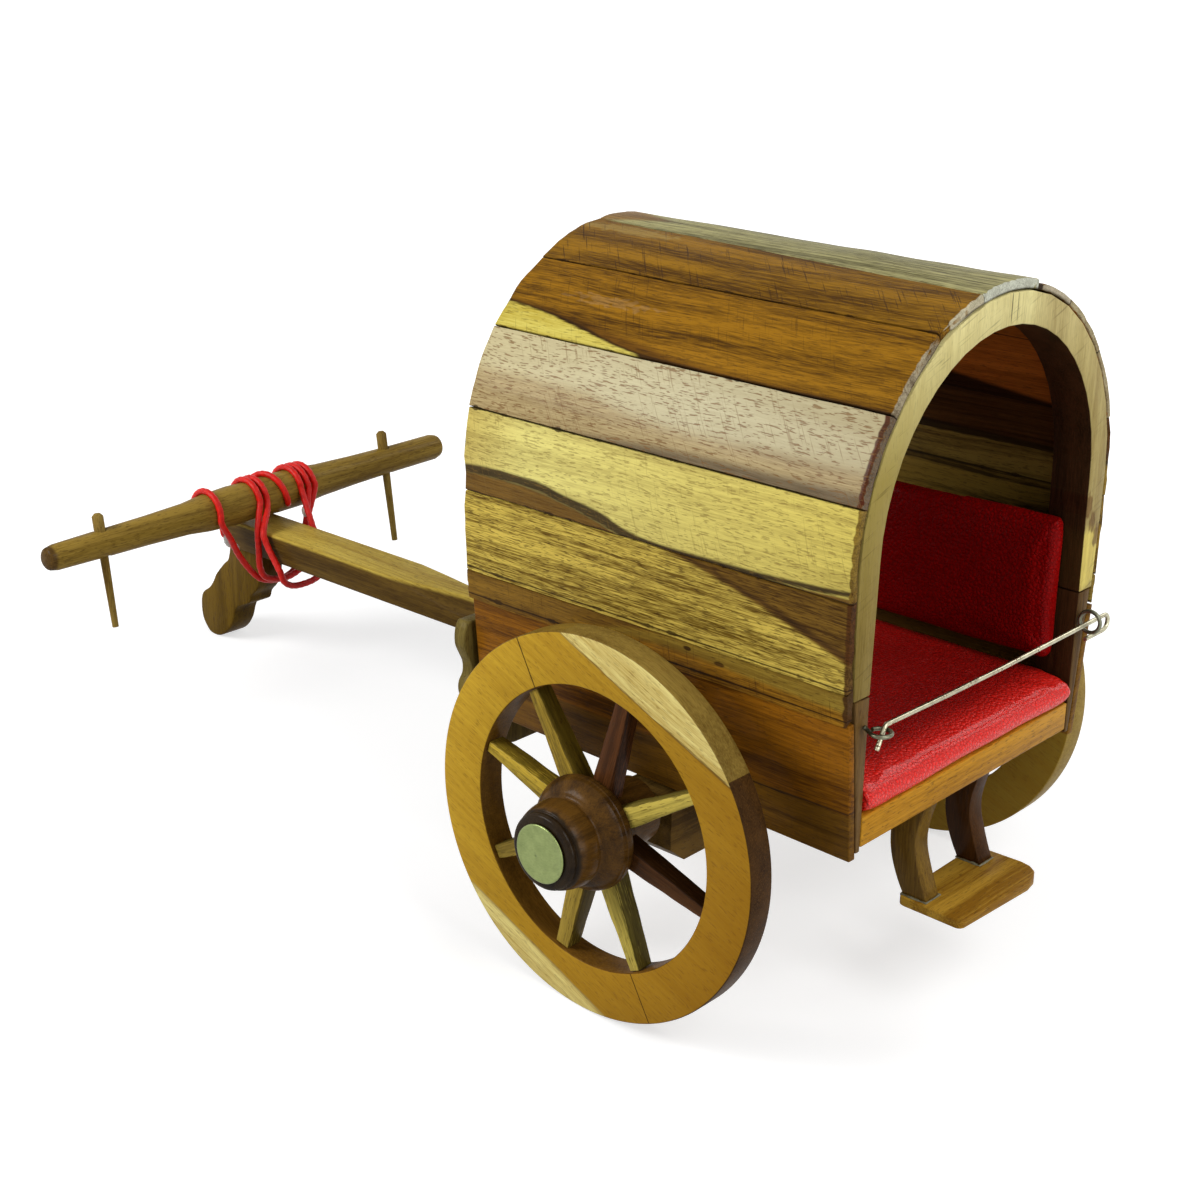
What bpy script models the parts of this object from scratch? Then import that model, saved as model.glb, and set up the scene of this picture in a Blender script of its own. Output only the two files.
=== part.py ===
"""Wooden souvenir model of a covered bullock cart, modelled in metres with +Z up.

Sizes are given with the cart level, the axle at x = 0 and z = AXLE_HEIGHT.
+X points forwards to the yoke and +Y to the cart's left side.
The cart is then pitched about its axle until the carved foot of the pole meets the ground.
"""
import math

import bmesh
import bpy
from mathutils import Matrix, Vector

GAP = 0.0003
OVERRUN = 0.002
EDGE_ROUND = 0.0004
CURVE_STEPS = 3

# Wheels, their planes given from the arch's outer face
WHEEL_RADIUS = 0.0500
RIM_DEPTH = 0.0132
RIM_INNER_RADIUS = WHEEL_RADIUS - RIM_DEPTH
RIM_OUTER_FACE = 0.0214
RIM_WIDTH = 0.0079
RIM_SEGMENTS = 96
HUB_PROFILE = (
    (0.0043, 0.0085), (0.0058, 0.0098), (0.0098, 0.0118), (0.0138, 0.0136), (0.0188, 0.0148),
    (0.0233, 0.0145), (0.0258, 0.0135), (0.0273, 0.0121), (0.0280, 0.0108), (0.0290, 0.0105),
    (0.0298, 0.0112), (0.0328, 0.0110), (0.0353, 0.0103), (0.0358, 0.0096), (0.0366, 0.0098),
    (0.0374, 0.0094), (0.0377, 0.0087),
)
HUB_SEGMENTS = 48
BORE_RADIUS = 0.00306
BORE_END = 0.0318
CAP_RADIUS = 0.0075
CAP_THICKNESS = 0.0006
SPOKE_ROOT_RADIUS = 0.0152
SPOKE_ROOT_WIDTH = 0.0058
SPOKE_ROOT_DEPTH = 0.0060
SPOKE_TIP_DEPTH = 0.0048
SPOKE_PLANE = 0.0180
SPOKE_ANGLES = (
    math.radians(17.4), math.radians(57.5), math.radians(104.4), math.radians(148.9),
    math.radians(195.1), math.radians(245.5), math.radians(284.4), math.radians(331.0),
)
SPOKE_TIP_WIDTHS = (0.0031, 0.0033, 0.0041, 0.0031, 0.0031, 0.0032, 0.0041, 0.0036)

# Body
BODY_REAR = -0.0595
BODY_FRONT = 0.0615
ARCH_CENTRE_HEIGHT = 0.1257
ARCH_OUTER_RADIUS = 0.0542
ARCH_THICKNESS = 0.0079
ARCH_INNER_RADIUS = ARCH_OUTER_RADIUS - ARCH_THICKNESS
LEG_FLARE = 0.0007
ARCH_LEG_HALF_WIDTH = ARCH_INNER_RADIUS + LEG_FLARE
ARCH_DEPTH = 0.0110
SIDE_LEAN = 0.0050
ARCH_STEPS = 24
POST_DROP = 0.0312
POST_TOP = ARCH_CENTRE_HEIGHT - POST_DROP
POST_FOOT = 0.0548
PLANK_THICKNESS = 0.0024
FAR_PLANK_THICKNESS = 0.0016
PLANK_STEPS = 5
PLANK_TURNS_REAR = (
    math.radians(12.3), math.radians(30.1), math.radians(53.2), math.radians(75.0),
    math.radians(97.0), math.radians(117.0), math.radians(123.0),
)
PLANK_TURNS_FRONT = (
    math.radians(7.3), math.radians(30.1), math.radians(53.2), math.radians(75.0),
    math.radians(97.0), math.radians(117.0), math.radians(123.0),
)
SIDE_BOARD_INSET = 0.0006
SIDE_BOARD_LAP = 0.0013
SIDE_BOARD_FOOT_REAR = 0.0535
SIDE_BOARD_FOOT_FRONT = 0.0560
SIDE_BOARD_SETBACK = 0.0015
FLOOR_TOP = 0.0635
FLOOR_THICKNESS = 0.0077
AXLE_BELOW_FLOOR = 0.0058
AXLE_HEIGHT = FLOOR_TOP - FLOOR_THICKNESS - AXLE_BELOW_FLOOR

# Soft trim
SEAT_THICKNESS = 0.0080
SEAT_OVERHANG = 0.0025
SEAT_CLEARANCE = 0.0008
SEAT_SETBACK = 0.0030
PAD_THICKNESS = 0.0052
PAD_ABOVE_SEAT = 0.0028
PAD_DROP = 0.0139
PAD_SETBACK = 0.0090
PAD_EDGE = 0.0018

# Underbody
BOLSTER_SETBACK = 0.0007
BOLSTER_FOOT_SETBACK = 0.0062
BOLSTER_FOOT = 0.0345
BOLSTER_SHOULDER = 0.0390
BOLSTER_DEPTH = 0.0160
AXLE_RADIUS = 0.0030
AXLE_END = 0.0308

# Front board: half width and height from the middle of the top edge down to the middle of the foot
BOARD_THICKNESS = 0.0042
BOARD_OUTLINE = (
    (0.0548, 0.0815), (0.0561, 0.0790), (0.0562, 0.0750), (0.0550, 0.0722), (0.0535, 0.0690),
    (0.0535, 0.0660), (0.0548, 0.0640), (0.0551, 0.0615), (0.0541, 0.0588), (0.0515, 0.0560),
    (0.0490, 0.0520), (0.0478, 0.0470), (0.0450, 0.0430), (0.0370, 0.0412),
)

# Pole, its carved foot and the yoke
POLE_HALF_WIDTH = 0.0078
POLE_TOP = 0.0612
POLE_FOOT = 0.0522
POLE_FRONT = 0.2255
POLE_CHAMFERS = ((0.0, 0.0046), (0.0500, 0.0046), (0.0660, 0.0022), (0.0790, 0.0006))
POLE_EDGE = 0.0006
FOOT_HALF_WIDTH = 0.0047
FOOT_OUTLINE = (
    (-0.0155, 0.0519), (-0.0147, 0.0440), (-0.0125, 0.0385), (-0.0093, 0.0352), (-0.0081, 0.0323),
    (-0.0045, 0.0305), (-0.0007, 0.0284), (0.0015, 0.0228), (0.0047, 0.0186), (0.0090, 0.0160),
    (0.0133, 0.0158), (0.0157, 0.0174), (0.0179, 0.0208), (0.0183, 0.0260), (0.0171, 0.0298),
    (0.0135, 0.0324), (0.0110, 0.0355), (0.0092, 0.0385), (0.0050, 0.0430), (0.0022, 0.0457),
    (0.0007, 0.0519),
)
YOKE_SETBACK = 0.0100
YOKE_X = POLE_FRONT - YOKE_SETBACK
YOKE_ABOVE_POLE = 0.0077
YOKE_HEIGHT = POLE_TOP + YOKE_ABOVE_POLE
YOKE_TILT = math.radians(0.82)
YOKE_STATIONS = (
    (-0.0808, 0.0028), (-0.0803, 0.0039), (-0.0780, 0.0045), (-0.0600, 0.0046), (-0.0400, 0.0050),
    (-0.0250, 0.0056), (-0.0160, 0.0065), (-0.0060, 0.0066), (0.0030, 0.0062), (0.0120, 0.0066),
    (0.0220, 0.0061), (0.0300, 0.0052), (0.0450, 0.0047), (0.0650, 0.0044), (0.0790, 0.0041),
    (0.0818, 0.0035), (0.0825, 0.0025),
)
YOKE_SEGMENTS = 24
PINS = (("left", 0.0621, 0.0096, -0.0268), ("right", -0.0558, 0.0105, -0.0285))
PIN_HEAD_RADIUS = 0.0018
PIN_SHANK_RADIUS = 0.0014
PIN_TIP_RADIUS = 0.0010
PIN_LEAN = math.radians(9.0)

# Lashing: one cord in turns over the yoke, down the left side, under, and up the right side
CORD_RADIUS = 0.00125
CORD_OVER_LEFT = (0.0215, 0.0055, 0.0025)
CORD_OVER_RIGHT = (-0.0178, -0.0149, -0.0120)
CORD_LAST_OVER = (-0.0005, -0.0065)
CORD_UNDER = (
    ((-0.0175, 0.0215, 0.0662), (-0.0170, 0.0180, 0.0604), (-0.0163, 0.0145, 0.0540), (-0.0167, 0.0105, 0.0480),
     (-0.0183, 0.0070, 0.0442), (-0.0189, 0.0000, 0.0426), (-0.0183, -0.0070, 0.0442), (-0.0169, -0.0108, 0.0490),
     (-0.0175, -0.0120, 0.0560), (-0.0179, -0.0150, 0.0640)),
    ((-0.0185, 0.0072, 0.0665), (-0.0205, 0.0096, 0.0615), (-0.0209, 0.0098, 0.0550), (-0.0212, 0.0098, 0.0495),
     (-0.0216, 0.0075, 0.0456), (-0.0220, 0.0000, 0.0438), (-0.0216, -0.0075, 0.0456), (-0.0212, -0.0098, 0.0495),
     (-0.0209, -0.0100, 0.0560), (-0.0195, -0.0120, 0.0630)),
    ((-0.0193, 0.0045, 0.0670), (-0.0233, 0.0095, 0.0622), (-0.0252, 0.0098, 0.0583), (-0.0290, 0.0098, 0.0535),
     (-0.0314, 0.0098, 0.0505), (-0.0320, 0.0085, 0.0468), (-0.0320, 0.0040, 0.0446), (-0.0317, -0.0040, 0.0446),
     (-0.0310, -0.0085, 0.0468), (-0.0297, -0.0098, 0.0510), (-0.0260, -0.0098, 0.0580), (-0.0227, -0.0104, 0.0632)),
)
CORD_CROSS_HEIGHTS = (0.0540, 0.0568, 0.0596)
CORD_CROSS_RIGHT = -0.0095
CORD_OVER_TURNS = (math.radians(12), math.radians(52), math.radians(92), math.radians(132), math.radians(172))
CORD_LAST_TURN = math.radians(205)

# Step
BRACKET_REAR_EDGE = ((0.0020, 0.0555), (0.0032, 0.0515), (0.0045, 0.0457), (0.0044, 0.0411),
                     (0.0031, 0.0365), (0.0017, 0.0325), (0.0002, 0.0288))
BRACKET_FRONT_EDGE = ((0.0117, 0.0555), (0.0120, 0.0500), (0.0120, 0.0439), (0.0117, 0.0403),
                      (0.0107, 0.0363), (0.0090, 0.0321), (0.0072, 0.0288))
BRACKETS = (("left", 0.0096, 0.0156, 0.0), ("right", -0.0109, -0.0169, 0.0010))
STEP_TOP = 0.0285
STEP_THICKNESS = 0.0025
STEP_OUTLINE = (
    (0.0085, -0.0190), (0.0079, 0.0150), (0.0073, 0.0164), (0.0060, 0.0168), (-0.0097, 0.0172),
    (-0.0107, 0.0168), (-0.0113, 0.0158), (-0.0127, -0.0120), (-0.0120, -0.0158), (-0.0105, -0.0186),
    (-0.0082, -0.0203), (-0.0053, -0.0209), (0.0065, -0.0205),
)

# Safety bar: a hook on the left that drops into one eye, and a loop on the right about the other
BAR_RADIUS = 0.0006
BAR_SETBACK = 0.00375
BAR_X = BODY_REAR - BAR_SETBACK
BAR_BELOW_POST_TOP = 0.0065
BAR_SPAN_SHARES = (-1.0, -0.6380, -0.0745, 0.4255, 0.9300)
BAR_SAGS = (0.0008, 0.0009, 0.0009, 0.0006, 0.0000)
BAR_LOOP_REACH = 0.0078
BAR_RETURN_REACH = 0.0015
HOOK_POINTS = ((-0.0019, 0.0000), (-0.0012, -0.0003), (-0.0008, -0.0009), (0.0016, -0.0054))
EYE_WIRE_RADIUS = 0.00055
LEFT_EYE_CENTRE = (0.0003, -0.00145)
LEFT_EYE_RADIUS = 0.0025
LEFT_EYE_SCREW = (0.0030, 0.0)
LEFT_EYE_START = math.radians(40)
RIGHT_EYE_CENTRE = (-0.0002, -0.0007)
RIGHT_EYE_RADIUS = 0.0029
EYE_SWEEP = math.radians(315)
LOOP_STEPS = 8
EYE_SEGMENTS = 24
WIRE_SIDES = 10


def material(name, color, roughness, metallic=0.0):
    """Returns a Principled material."""
    slot = bpy.data.materials.new(name)
    slot.use_nodes = True
    shader = slot.node_tree.nodes["Principled BSDF"]
    shader.inputs["Base Color"].default_value = (*color, 1.0)
    shader.inputs["Roughness"].default_value = roughness
    shader.inputs["Metallic"].default_value = metallic
    slot.diffuse_color = (*color, 1.0)
    return slot


def add_object(name, verts, faces, slot, origin=(0.0, 0.0, 0.0), smooth_angle=None):
    """Adds a closed mesh whose origin is at the given point of the level cart."""
    origin = Vector(origin)
    mesh = bpy.data.meshes.new(name)
    mesh.from_pydata([tuple(Vector(v) - origin) for v in verts], [], faces)
    work = bmesh.new()
    work.from_mesh(mesh)
    bmesh.ops.recalc_face_normals(work, faces=work.faces)
    work.to_mesh(mesh)
    work.free()
    mesh.materials.append(slot)
    obj = bpy.data.objects.new(name, mesh)
    bpy.context.scene.collection.objects.link(obj)
    obj.location = origin
    if smooth_angle is not None:
        mesh.polygons.foreach_set("use_smooth", [True] * len(mesh.polygons))
        mesh.set_sharp_from_angle(angle=smooth_angle)
    return obj


def loft(name, rings, slot, closed=False, origin=(0.0, 0.0, 0.0), smooth_angle=None):
    """Joins rings with equal counts of points into one skin, capped unless the row is closed."""
    count = len(rings[0])
    verts = [point for ring in rings for point in ring]
    faces = []
    for row in range(len(rings) if closed else len(rings) - 1):
        start, end = row * count, ((row + 1) % len(rings)) * count
        for i in range(count):
            j = (i + 1) % count
            faces.append((start + i, start + j, end + j, end + i))
    if not closed:
        faces.append(tuple(range(count)))
        faces.append(tuple(range(len(verts) - count, len(verts))))
    return add_object(name, verts, faces, slot, origin, smooth_angle)


def bevel(obj, width, segments=2):
    """Rounds the edges of a solid."""
    modifier = obj.modifiers.new("edges", "BEVEL")
    modifier.width = width
    modifier.segments = segments
    modifier.limit_method = "ANGLE"
    return obj


def cut(obj, cutter):
    """Cuts one solid with another that isn't drawn."""
    modifier = obj.modifiers.new("cut", "BOOLEAN")
    modifier.operation = "DIFFERENCE"
    modifier.solver = "EXACT"
    modifier.object = cutter
    cutter.hide_render = True
    cutter.display_type = "WIRE"


def revolve(name, profile, centre, segments, slot, smooth_angle=None):
    """Turns a row of (y, radius) about the Y axis through a centre."""
    rings = []
    for along, radius in profile:
        ring = []
        for i in range(segments):
            turn = math.tau * i / segments
            ring.append((centre[0] + radius * math.cos(turn), along, centre[2] + radius * math.sin(turn)))
        rings.append(ring)
    return loft(name, rings, slot, origin=centre, smooth_angle=smooth_angle)


def hood_point(turn, offset):
    """Returns (y, z) on the hood's section, with the turn measured from its ridge."""
    side = math.copysign(1.0, turn)
    turn = abs(turn)
    radius = ARCH_OUTER_RADIUS + offset
    if turn <= math.pi / 2:
        return side * radius * math.sin(turn), ARCH_CENTRE_HEIGHT + radius * math.cos(turn)
    height = ARCH_CENTRE_HEIGHT - radius * math.tan(turn - math.pi / 2)
    return side * side_y(height, offset), height


def side_y(height, offset):
    """Returns the hood section's half width at a height below its centre."""
    drop = (ARCH_CENTRE_HEIGHT - height) / (ARCH_CENTRE_HEIGHT - POST_FOOT)
    return ARCH_OUTER_RADIUS + offset - SIDE_LEAN * drop ** 2


def curve_through(points):
    """Returns a smooth open row of points through the given ones."""
    points = [Vector(point) for point in points]
    row = []
    for i in range(len(points) - 1):
        before, start = points[max(i - 1, 0)], points[i]
        end, after = points[i + 1], points[min(i + 2, len(points) - 1)]
        for step in range(CURVE_STEPS):
            t = step / CURVE_STEPS
            row.append(0.5 * ((2 * start) + (end - before) * t + (2 * before - 5 * start + 4 * end - after) * t ** 2
                              + (3 * start - before - 3 * end + after) * t ** 3))
    return row + [points[-1]]


def prism_x(name, outline, start, end, slot):
    """Extrudes a (y, z) outline along X."""
    return loft(name, [[(start, y, z) for y, z in outline], [(end, y, z) for y, z in outline]], slot)


def prism_y(name, outline, start, end, slot, origin=(0.0, 0.0, 0.0)):
    """Extrudes an (x, z) outline along Y."""
    return loft(name, [[(x, start, z) for x, z in outline], [(x, end, z) for x, z in outline]], slot, origin=origin)


def prism_z(name, outline, start, end, slot):
    """Extrudes an (x, y) outline along Z."""
    return loft(name, [[(x, y, start) for x, y in outline], [(x, y, end) for x, y in outline]], slot)


def tube(name, points, radius, sides, slot, closed=False, origin=(0.0, 0.0, 0.0)):
    """Sweeps a round section along a path."""
    points = [Vector(p) for p in points]
    rings = []
    normal = None
    for i, point in enumerate(points):
        before = points[i - 1] if closed or i > 0 else point
        after = points[(i + 1) % len(points)] if closed or i < len(points) - 1 else point
        along = (after - before).normalized()
        if normal is None:
            normal = along.orthogonal().normalized()
        normal = (normal - along * normal.dot(along)).normalized()
        across = along.cross(normal)
        ring = []
        for k in range(sides):
            turn = math.tau * k / sides
            ring.append(point + (normal * math.cos(turn) + across * math.sin(turn)) * radius)
        rings.append(ring)
    return loft(name, rings, slot, closed=closed, origin=origin, smooth_angle=math.radians(50))


def circle_path(centre, radius, count, first_axis, second_axis, start=0.0, sweep=math.tau):
    """Returns points on an arc in the plane of two axes."""
    points = []
    for i in range(count):
        turn = start + sweep * i / (count if sweep == math.tau else count - 1)
        points.append(Vector(centre) + Vector(first_axis) * (radius * math.cos(turn))
                      + Vector(second_axis) * (radius * math.sin(turn)))
    return points


def build_wheel(side_name, side, finishes):
    """Builds one wheel: rim, hub, spokes and the brass cap."""
    axle = (0.0, 0.0, AXLE_HEIGHT)
    objects = []
    rings = []
    outer = ARCH_OUTER_RADIUS + RIM_OUTER_FACE
    inner = outer - RIM_WIDTH
    section = ((inner, WHEEL_RADIUS - EDGE_ROUND), (inner + EDGE_ROUND, WHEEL_RADIUS),
               (outer - EDGE_ROUND, WHEEL_RADIUS), (outer, WHEEL_RADIUS - EDGE_ROUND),
               (outer, RIM_INNER_RADIUS), (inner, RIM_INNER_RADIUS))
    for i in range(RIM_SEGMENTS):
        turn = math.tau * i / RIM_SEGMENTS
        ring = []
        for along, radius in section:
            ring.append((radius * math.cos(turn), side * along, AXLE_HEIGHT + radius * math.sin(turn)))
        rings.append(ring)
    objects.append(loft(f"wheel_{side_name}_rim", rings, finishes["rim"], closed=True, origin=axle,
                        smooth_angle=math.radians(30)))
    profile = [(side * (ARCH_OUTER_RADIUS + along), radius) for along, radius in HUB_PROFILE]
    hub = revolve(f"wheel_{side_name}_hub", profile, axle, HUB_SEGMENTS, finishes["hub"], math.radians(40))
    bore = revolve(f"wheel_{side_name}_bore_cutter",
                   [(profile[0][0] - side * OVERRUN, BORE_RADIUS),
                    (side * (ARCH_OUTER_RADIUS + BORE_END), BORE_RADIUS)],
                   axle, HUB_SEGMENTS, finishes["hub"])
    cut(hub, bore)
    objects += [hub, bore]
    cap_start = ARCH_OUTER_RADIUS + HUB_PROFILE[-1][0] + GAP
    cap = [(side * cap_start, CAP_RADIUS), (side * (cap_start + CAP_THICKNESS), CAP_RADIUS)]
    objects.append(revolve(f"wheel_{side_name}_cap", cap, axle, HUB_SEGMENTS, finishes["brass"], math.radians(40)))
    tip_radius = RIM_INNER_RADIUS - GAP
    for number, (angle, tip_width) in enumerate(zip(SPOKE_ANGLES, SPOKE_TIP_WIDTHS), start=1):
        out = Vector((math.cos(angle), 0.0, math.sin(angle)))
        across = Vector((-math.sin(angle), 0.0, math.cos(angle)))
        rings = []
        for radius, width, depth in ((SPOKE_ROOT_RADIUS, SPOKE_ROOT_WIDTH, SPOKE_ROOT_DEPTH),
                                     (tip_radius * math.cos(tip_width / tip_radius / 2),
                                      tip_width, SPOKE_TIP_DEPTH)):
            ring = []
            for u, v in ((-width, -depth), (width, -depth), (width, depth), (-width, depth)):
                ring.append(Vector(axle) + out * radius + across * (u / 2)
                            + Vector((0.0, side * (ARCH_OUTER_RADIUS + SPOKE_PLANE) + v / 2, 0.0)))
            rings.append(ring)
        objects.append(loft(f"wheel_{side_name}_spoke_{number}", rings, finishes["spoke"], origin=axle))
    return objects


def arch_outline(legs):
    """Returns the closed (y, z) outline of an arch, with legs to the floor or cut off at its posts."""
    foot_turn = math.pi / 2 + math.atan((ARCH_CENTRE_HEIGHT - POST_TOP) / ARCH_OUTER_RADIUS)
    outer = [hood_point(foot_turn * (2 * i / ARCH_STEPS - 1), 0.0) for i in range(ARCH_STEPS + 1)]
    foot = POST_TOP
    if legs:
        foot = POST_FOOT
        leg = [(side_y(z, -SIDE_BOARD_INSET), z) for z in (POST_TOP, POST_FOOT)]
        outer = [(-y, z) for y, z in reversed(leg)] + outer + leg
    inner = [(ARCH_LEG_HALF_WIDTH, foot)]
    for i in range(ARCH_STEPS + 1):
        turn = math.pi / 2 * (1 - 2 * i / ARCH_STEPS)
        inner.append((ARCH_INNER_RADIUS * math.sin(turn), ARCH_CENTRE_HEIGHT + ARCH_INNER_RADIUS * math.cos(turn)))
    inner.append((-ARCH_LEG_HALF_WIDTH, foot))
    return outer + inner


def build_body(finishes):
    """Builds the floor, arches, posts, planks and side boards."""
    objects = []
    rear_inner, front_inner = BODY_REAR + ARCH_DEPTH, BODY_FRONT - ARCH_DEPTH
    wide = side_y(SIDE_BOARD_FOOT_REAR, 0.0) - SIDE_BOARD_INSET
    narrow = ARCH_LEG_HALF_WIDTH - GAP
    floor = []
    for side in (1.0, -1.0):
        half = [(BODY_REAR, side * narrow), (rear_inner + GAP, side * narrow), (rear_inner + GAP, side * wide),
                (front_inner - GAP, side * wide), (front_inner - GAP, side * narrow), (BODY_FRONT, side * narrow)]
        floor += half if side > 0 else half[::-1]
    objects.append(prism_z("floor_board", floor, FLOOR_TOP - FLOOR_THICKNESS, FLOOR_TOP, finishes["floor"]))
    objects.append(prism_x("rear_arch", arch_outline(False), BODY_REAR, rear_inner, finishes["arch"]))
    objects.append(prism_x("front_arch", arch_outline(True), front_inner, BODY_FRONT, finishes["arch"]))
    for side_name, side in (("left", 1.0), ("right", -1.0)):
        top, foot = POST_TOP - GAP, POST_FOOT
        outline = [(side * ARCH_LEG_HALF_WIDTH, foot), (side * side_y(foot, -SIDE_BOARD_INSET), foot),
                   (side * side_y(top, -SIDE_BOARD_INSET), top), (side * ARCH_LEG_HALF_WIDTH, top)]
        objects.append(prism_x(f"rear_post_{side_name}", outline, BODY_REAR, rear_inner, finishes["post"]))
    ends = ((BODY_REAR, PLANK_TURNS_REAR), (BODY_FRONT, PLANK_TURNS_FRONT))
    rows = [("ridge_plank", 1.0, 0, PLANK_THICKNESS)]
    for number in range(1, len(PLANK_TURNS_REAR)):
        rows.append((f"plank_left_{number}", 1.0, number, PLANK_THICKNESS))
        rows.append((f"plank_right_{number}", -1.0, number, FAR_PLANK_THICKNESS))
    for name, side, number, thickness in rows:
        trim = GAP / 2 / ARCH_OUTER_RADIUS
        rings = []
        for x, turns in ends:
            start = turns[number - 1] + trim if number else trim - turns[0]
            end = turns[number] - trim
            row = [side * (start + (end - start) * i / PLANK_STEPS) for i in range(PLANK_STEPS + 1)]
            outline = [hood_point(t, GAP + thickness) for t in row]
            outline += [hood_point(t, GAP) for t in reversed(row)]
            rings.append([(x, y, z) for y, z in outline])
        objects.append(loft(name, rings, finishes["plank"]))
    for side_name, side in (("left", 1.0), ("right", -1.0)):
        rings = []
        top = hood_point(PLANK_TURNS_REAR[-1], 0.0)[1] - SIDE_BOARD_LAP
        for x, foot in ((BODY_REAR, SIDE_BOARD_FOOT_REAR), (BODY_FRONT - SIDE_BOARD_SETBACK, SIDE_BOARD_FOOT_FRONT)):
            inner, outer = GAP - SIDE_BOARD_INSET, GAP + PLANK_THICKNESS - SIDE_BOARD_INSET
            rings.append([(x, side * side_y(foot, inner), foot), (x, side * side_y(foot, outer), foot),
                          (x, side * side_y(top, outer), top), (x, side * side_y(top, inner), top)])
        objects.append(loft(f"side_board_{side_name}", rings, finishes["side_board"]))
    return objects


def build_trim(finishes):
    """Builds the seat and the two side pads as plain soft solids."""
    top = FLOOR_TOP + GAP + SEAT_THICKNESS
    foot = FLOOR_TOP + GAP
    rear, front = BODY_REAR - SEAT_OVERHANG, BODY_FRONT - SEAT_SETBACK
    half = ARCH_LEG_HALF_WIDTH - SEAT_CLEARANCE
    outline = [(rear + SEAT_OVERHANG, foot), (front, foot), (front, top - PAD_EDGE), (front - PAD_EDGE, top),
               (rear + SEAT_OVERHANG, top), (rear, foot + SEAT_THICKNESS / 2)]
    objects = [prism_y("seat_cushion", outline, -half, half, finishes["leatherette"])]
    pad_foot, pad_top = top + PAD_ABOVE_SEAT, ARCH_CENTRE_HEIGHT - PAD_DROP
    for side_name, side in (("left", 1.0), ("right", -1.0)):
        wall = ARCH_INNER_RADIUS - GAP
        face = wall - PAD_THICKNESS
        outline = [(side * wall, pad_foot), (side * wall, pad_top), (side * (face + PAD_EDGE), pad_top),
                   (side * face, pad_top - PAD_EDGE), (side * face, pad_foot + PAD_EDGE),
                   (side * (face + PAD_EDGE), pad_foot)]
        objects.append(prism_x(f"side_pad_{side_name}", outline, BODY_REAR + PAD_SETBACK, BODY_FRONT - PAD_SETBACK,
                               finishes["leatherette"]))
    return objects


def build_underbody(finishes):
    """Builds the axle block with its axle, the front board and the step."""
    top = FLOOR_TOP - FLOOR_THICKNESS - GAP
    half = []
    end, foot_end = ARCH_OUTER_RADIUS - BOLSTER_SETBACK, ARCH_OUTER_RADIUS - BOLSTER_FOOT_SETBACK
    for y, z in ((foot_end, BOLSTER_FOOT), (end, BOLSTER_SHOULDER), (end, SIDE_BOARD_FOOT_REAR - GAP),
                 (wide_floor(), SIDE_BOARD_FOOT_REAR - GAP), (wide_floor(), top)):
        half.append((y, z))
    outline = half + [(-y, z) for y, z in reversed(half)]
    block = prism_x("axle_block", outline, -BOLSTER_DEPTH / 2, BOLSTER_DEPTH / 2, finishes["axle"])
    reach = ARCH_OUTER_RADIUS + AXLE_END
    rod = revolve("axle_rod", [(-reach, AXLE_RADIUS), (reach, AXLE_RADIUS)], (0.0, 0.0, AXLE_HEIGHT),
                  HUB_SEGMENTS, finishes["axle"])
    modifier = block.modifiers.new("rod", "BOOLEAN")
    modifier.operation = "UNION"
    modifier.solver = "EXACT"
    modifier.object = rod
    rod.hide_render = True
    rod.display_type = "WIRE"
    start = BODY_FRONT + GAP
    edge = [(y, z) for y, z in curve_through(BOARD_OUTLINE)]
    board = edge + [(-y, z) for y, z in reversed(edge)]
    objects = [block, rod, prism_x("front_board", board, start, start + BOARD_THICKNESS, finishes["front_board"])]
    bevel(objects[-1], EDGE_ROUND)
    for side_name, inner, outer, forward in BRACKETS:
        outline = curve_through(BRACKET_REAR_EDGE) + curve_through(BRACKET_FRONT_EDGE)[::-1]
        outline = [(BODY_REAR + x + forward, z) for x, z in outline]
        objects.append(prism_y(f"step_bracket_{side_name}", outline, inner, outer, finishes["bracket"]))
    outline = [(BODY_REAR + x, y) for x, y in STEP_OUTLINE]
    objects.append(prism_z("step_board", outline, STEP_TOP - STEP_THICKNESS, STEP_TOP, finishes["step"]))
    bevel(objects[-1], EDGE_ROUND)
    return objects


def wide_floor():
    """Returns the floor's half width between the side boards."""
    return side_y(SIDE_BOARD_FOOT_REAR, 0.0) - SIDE_BOARD_INSET


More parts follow.
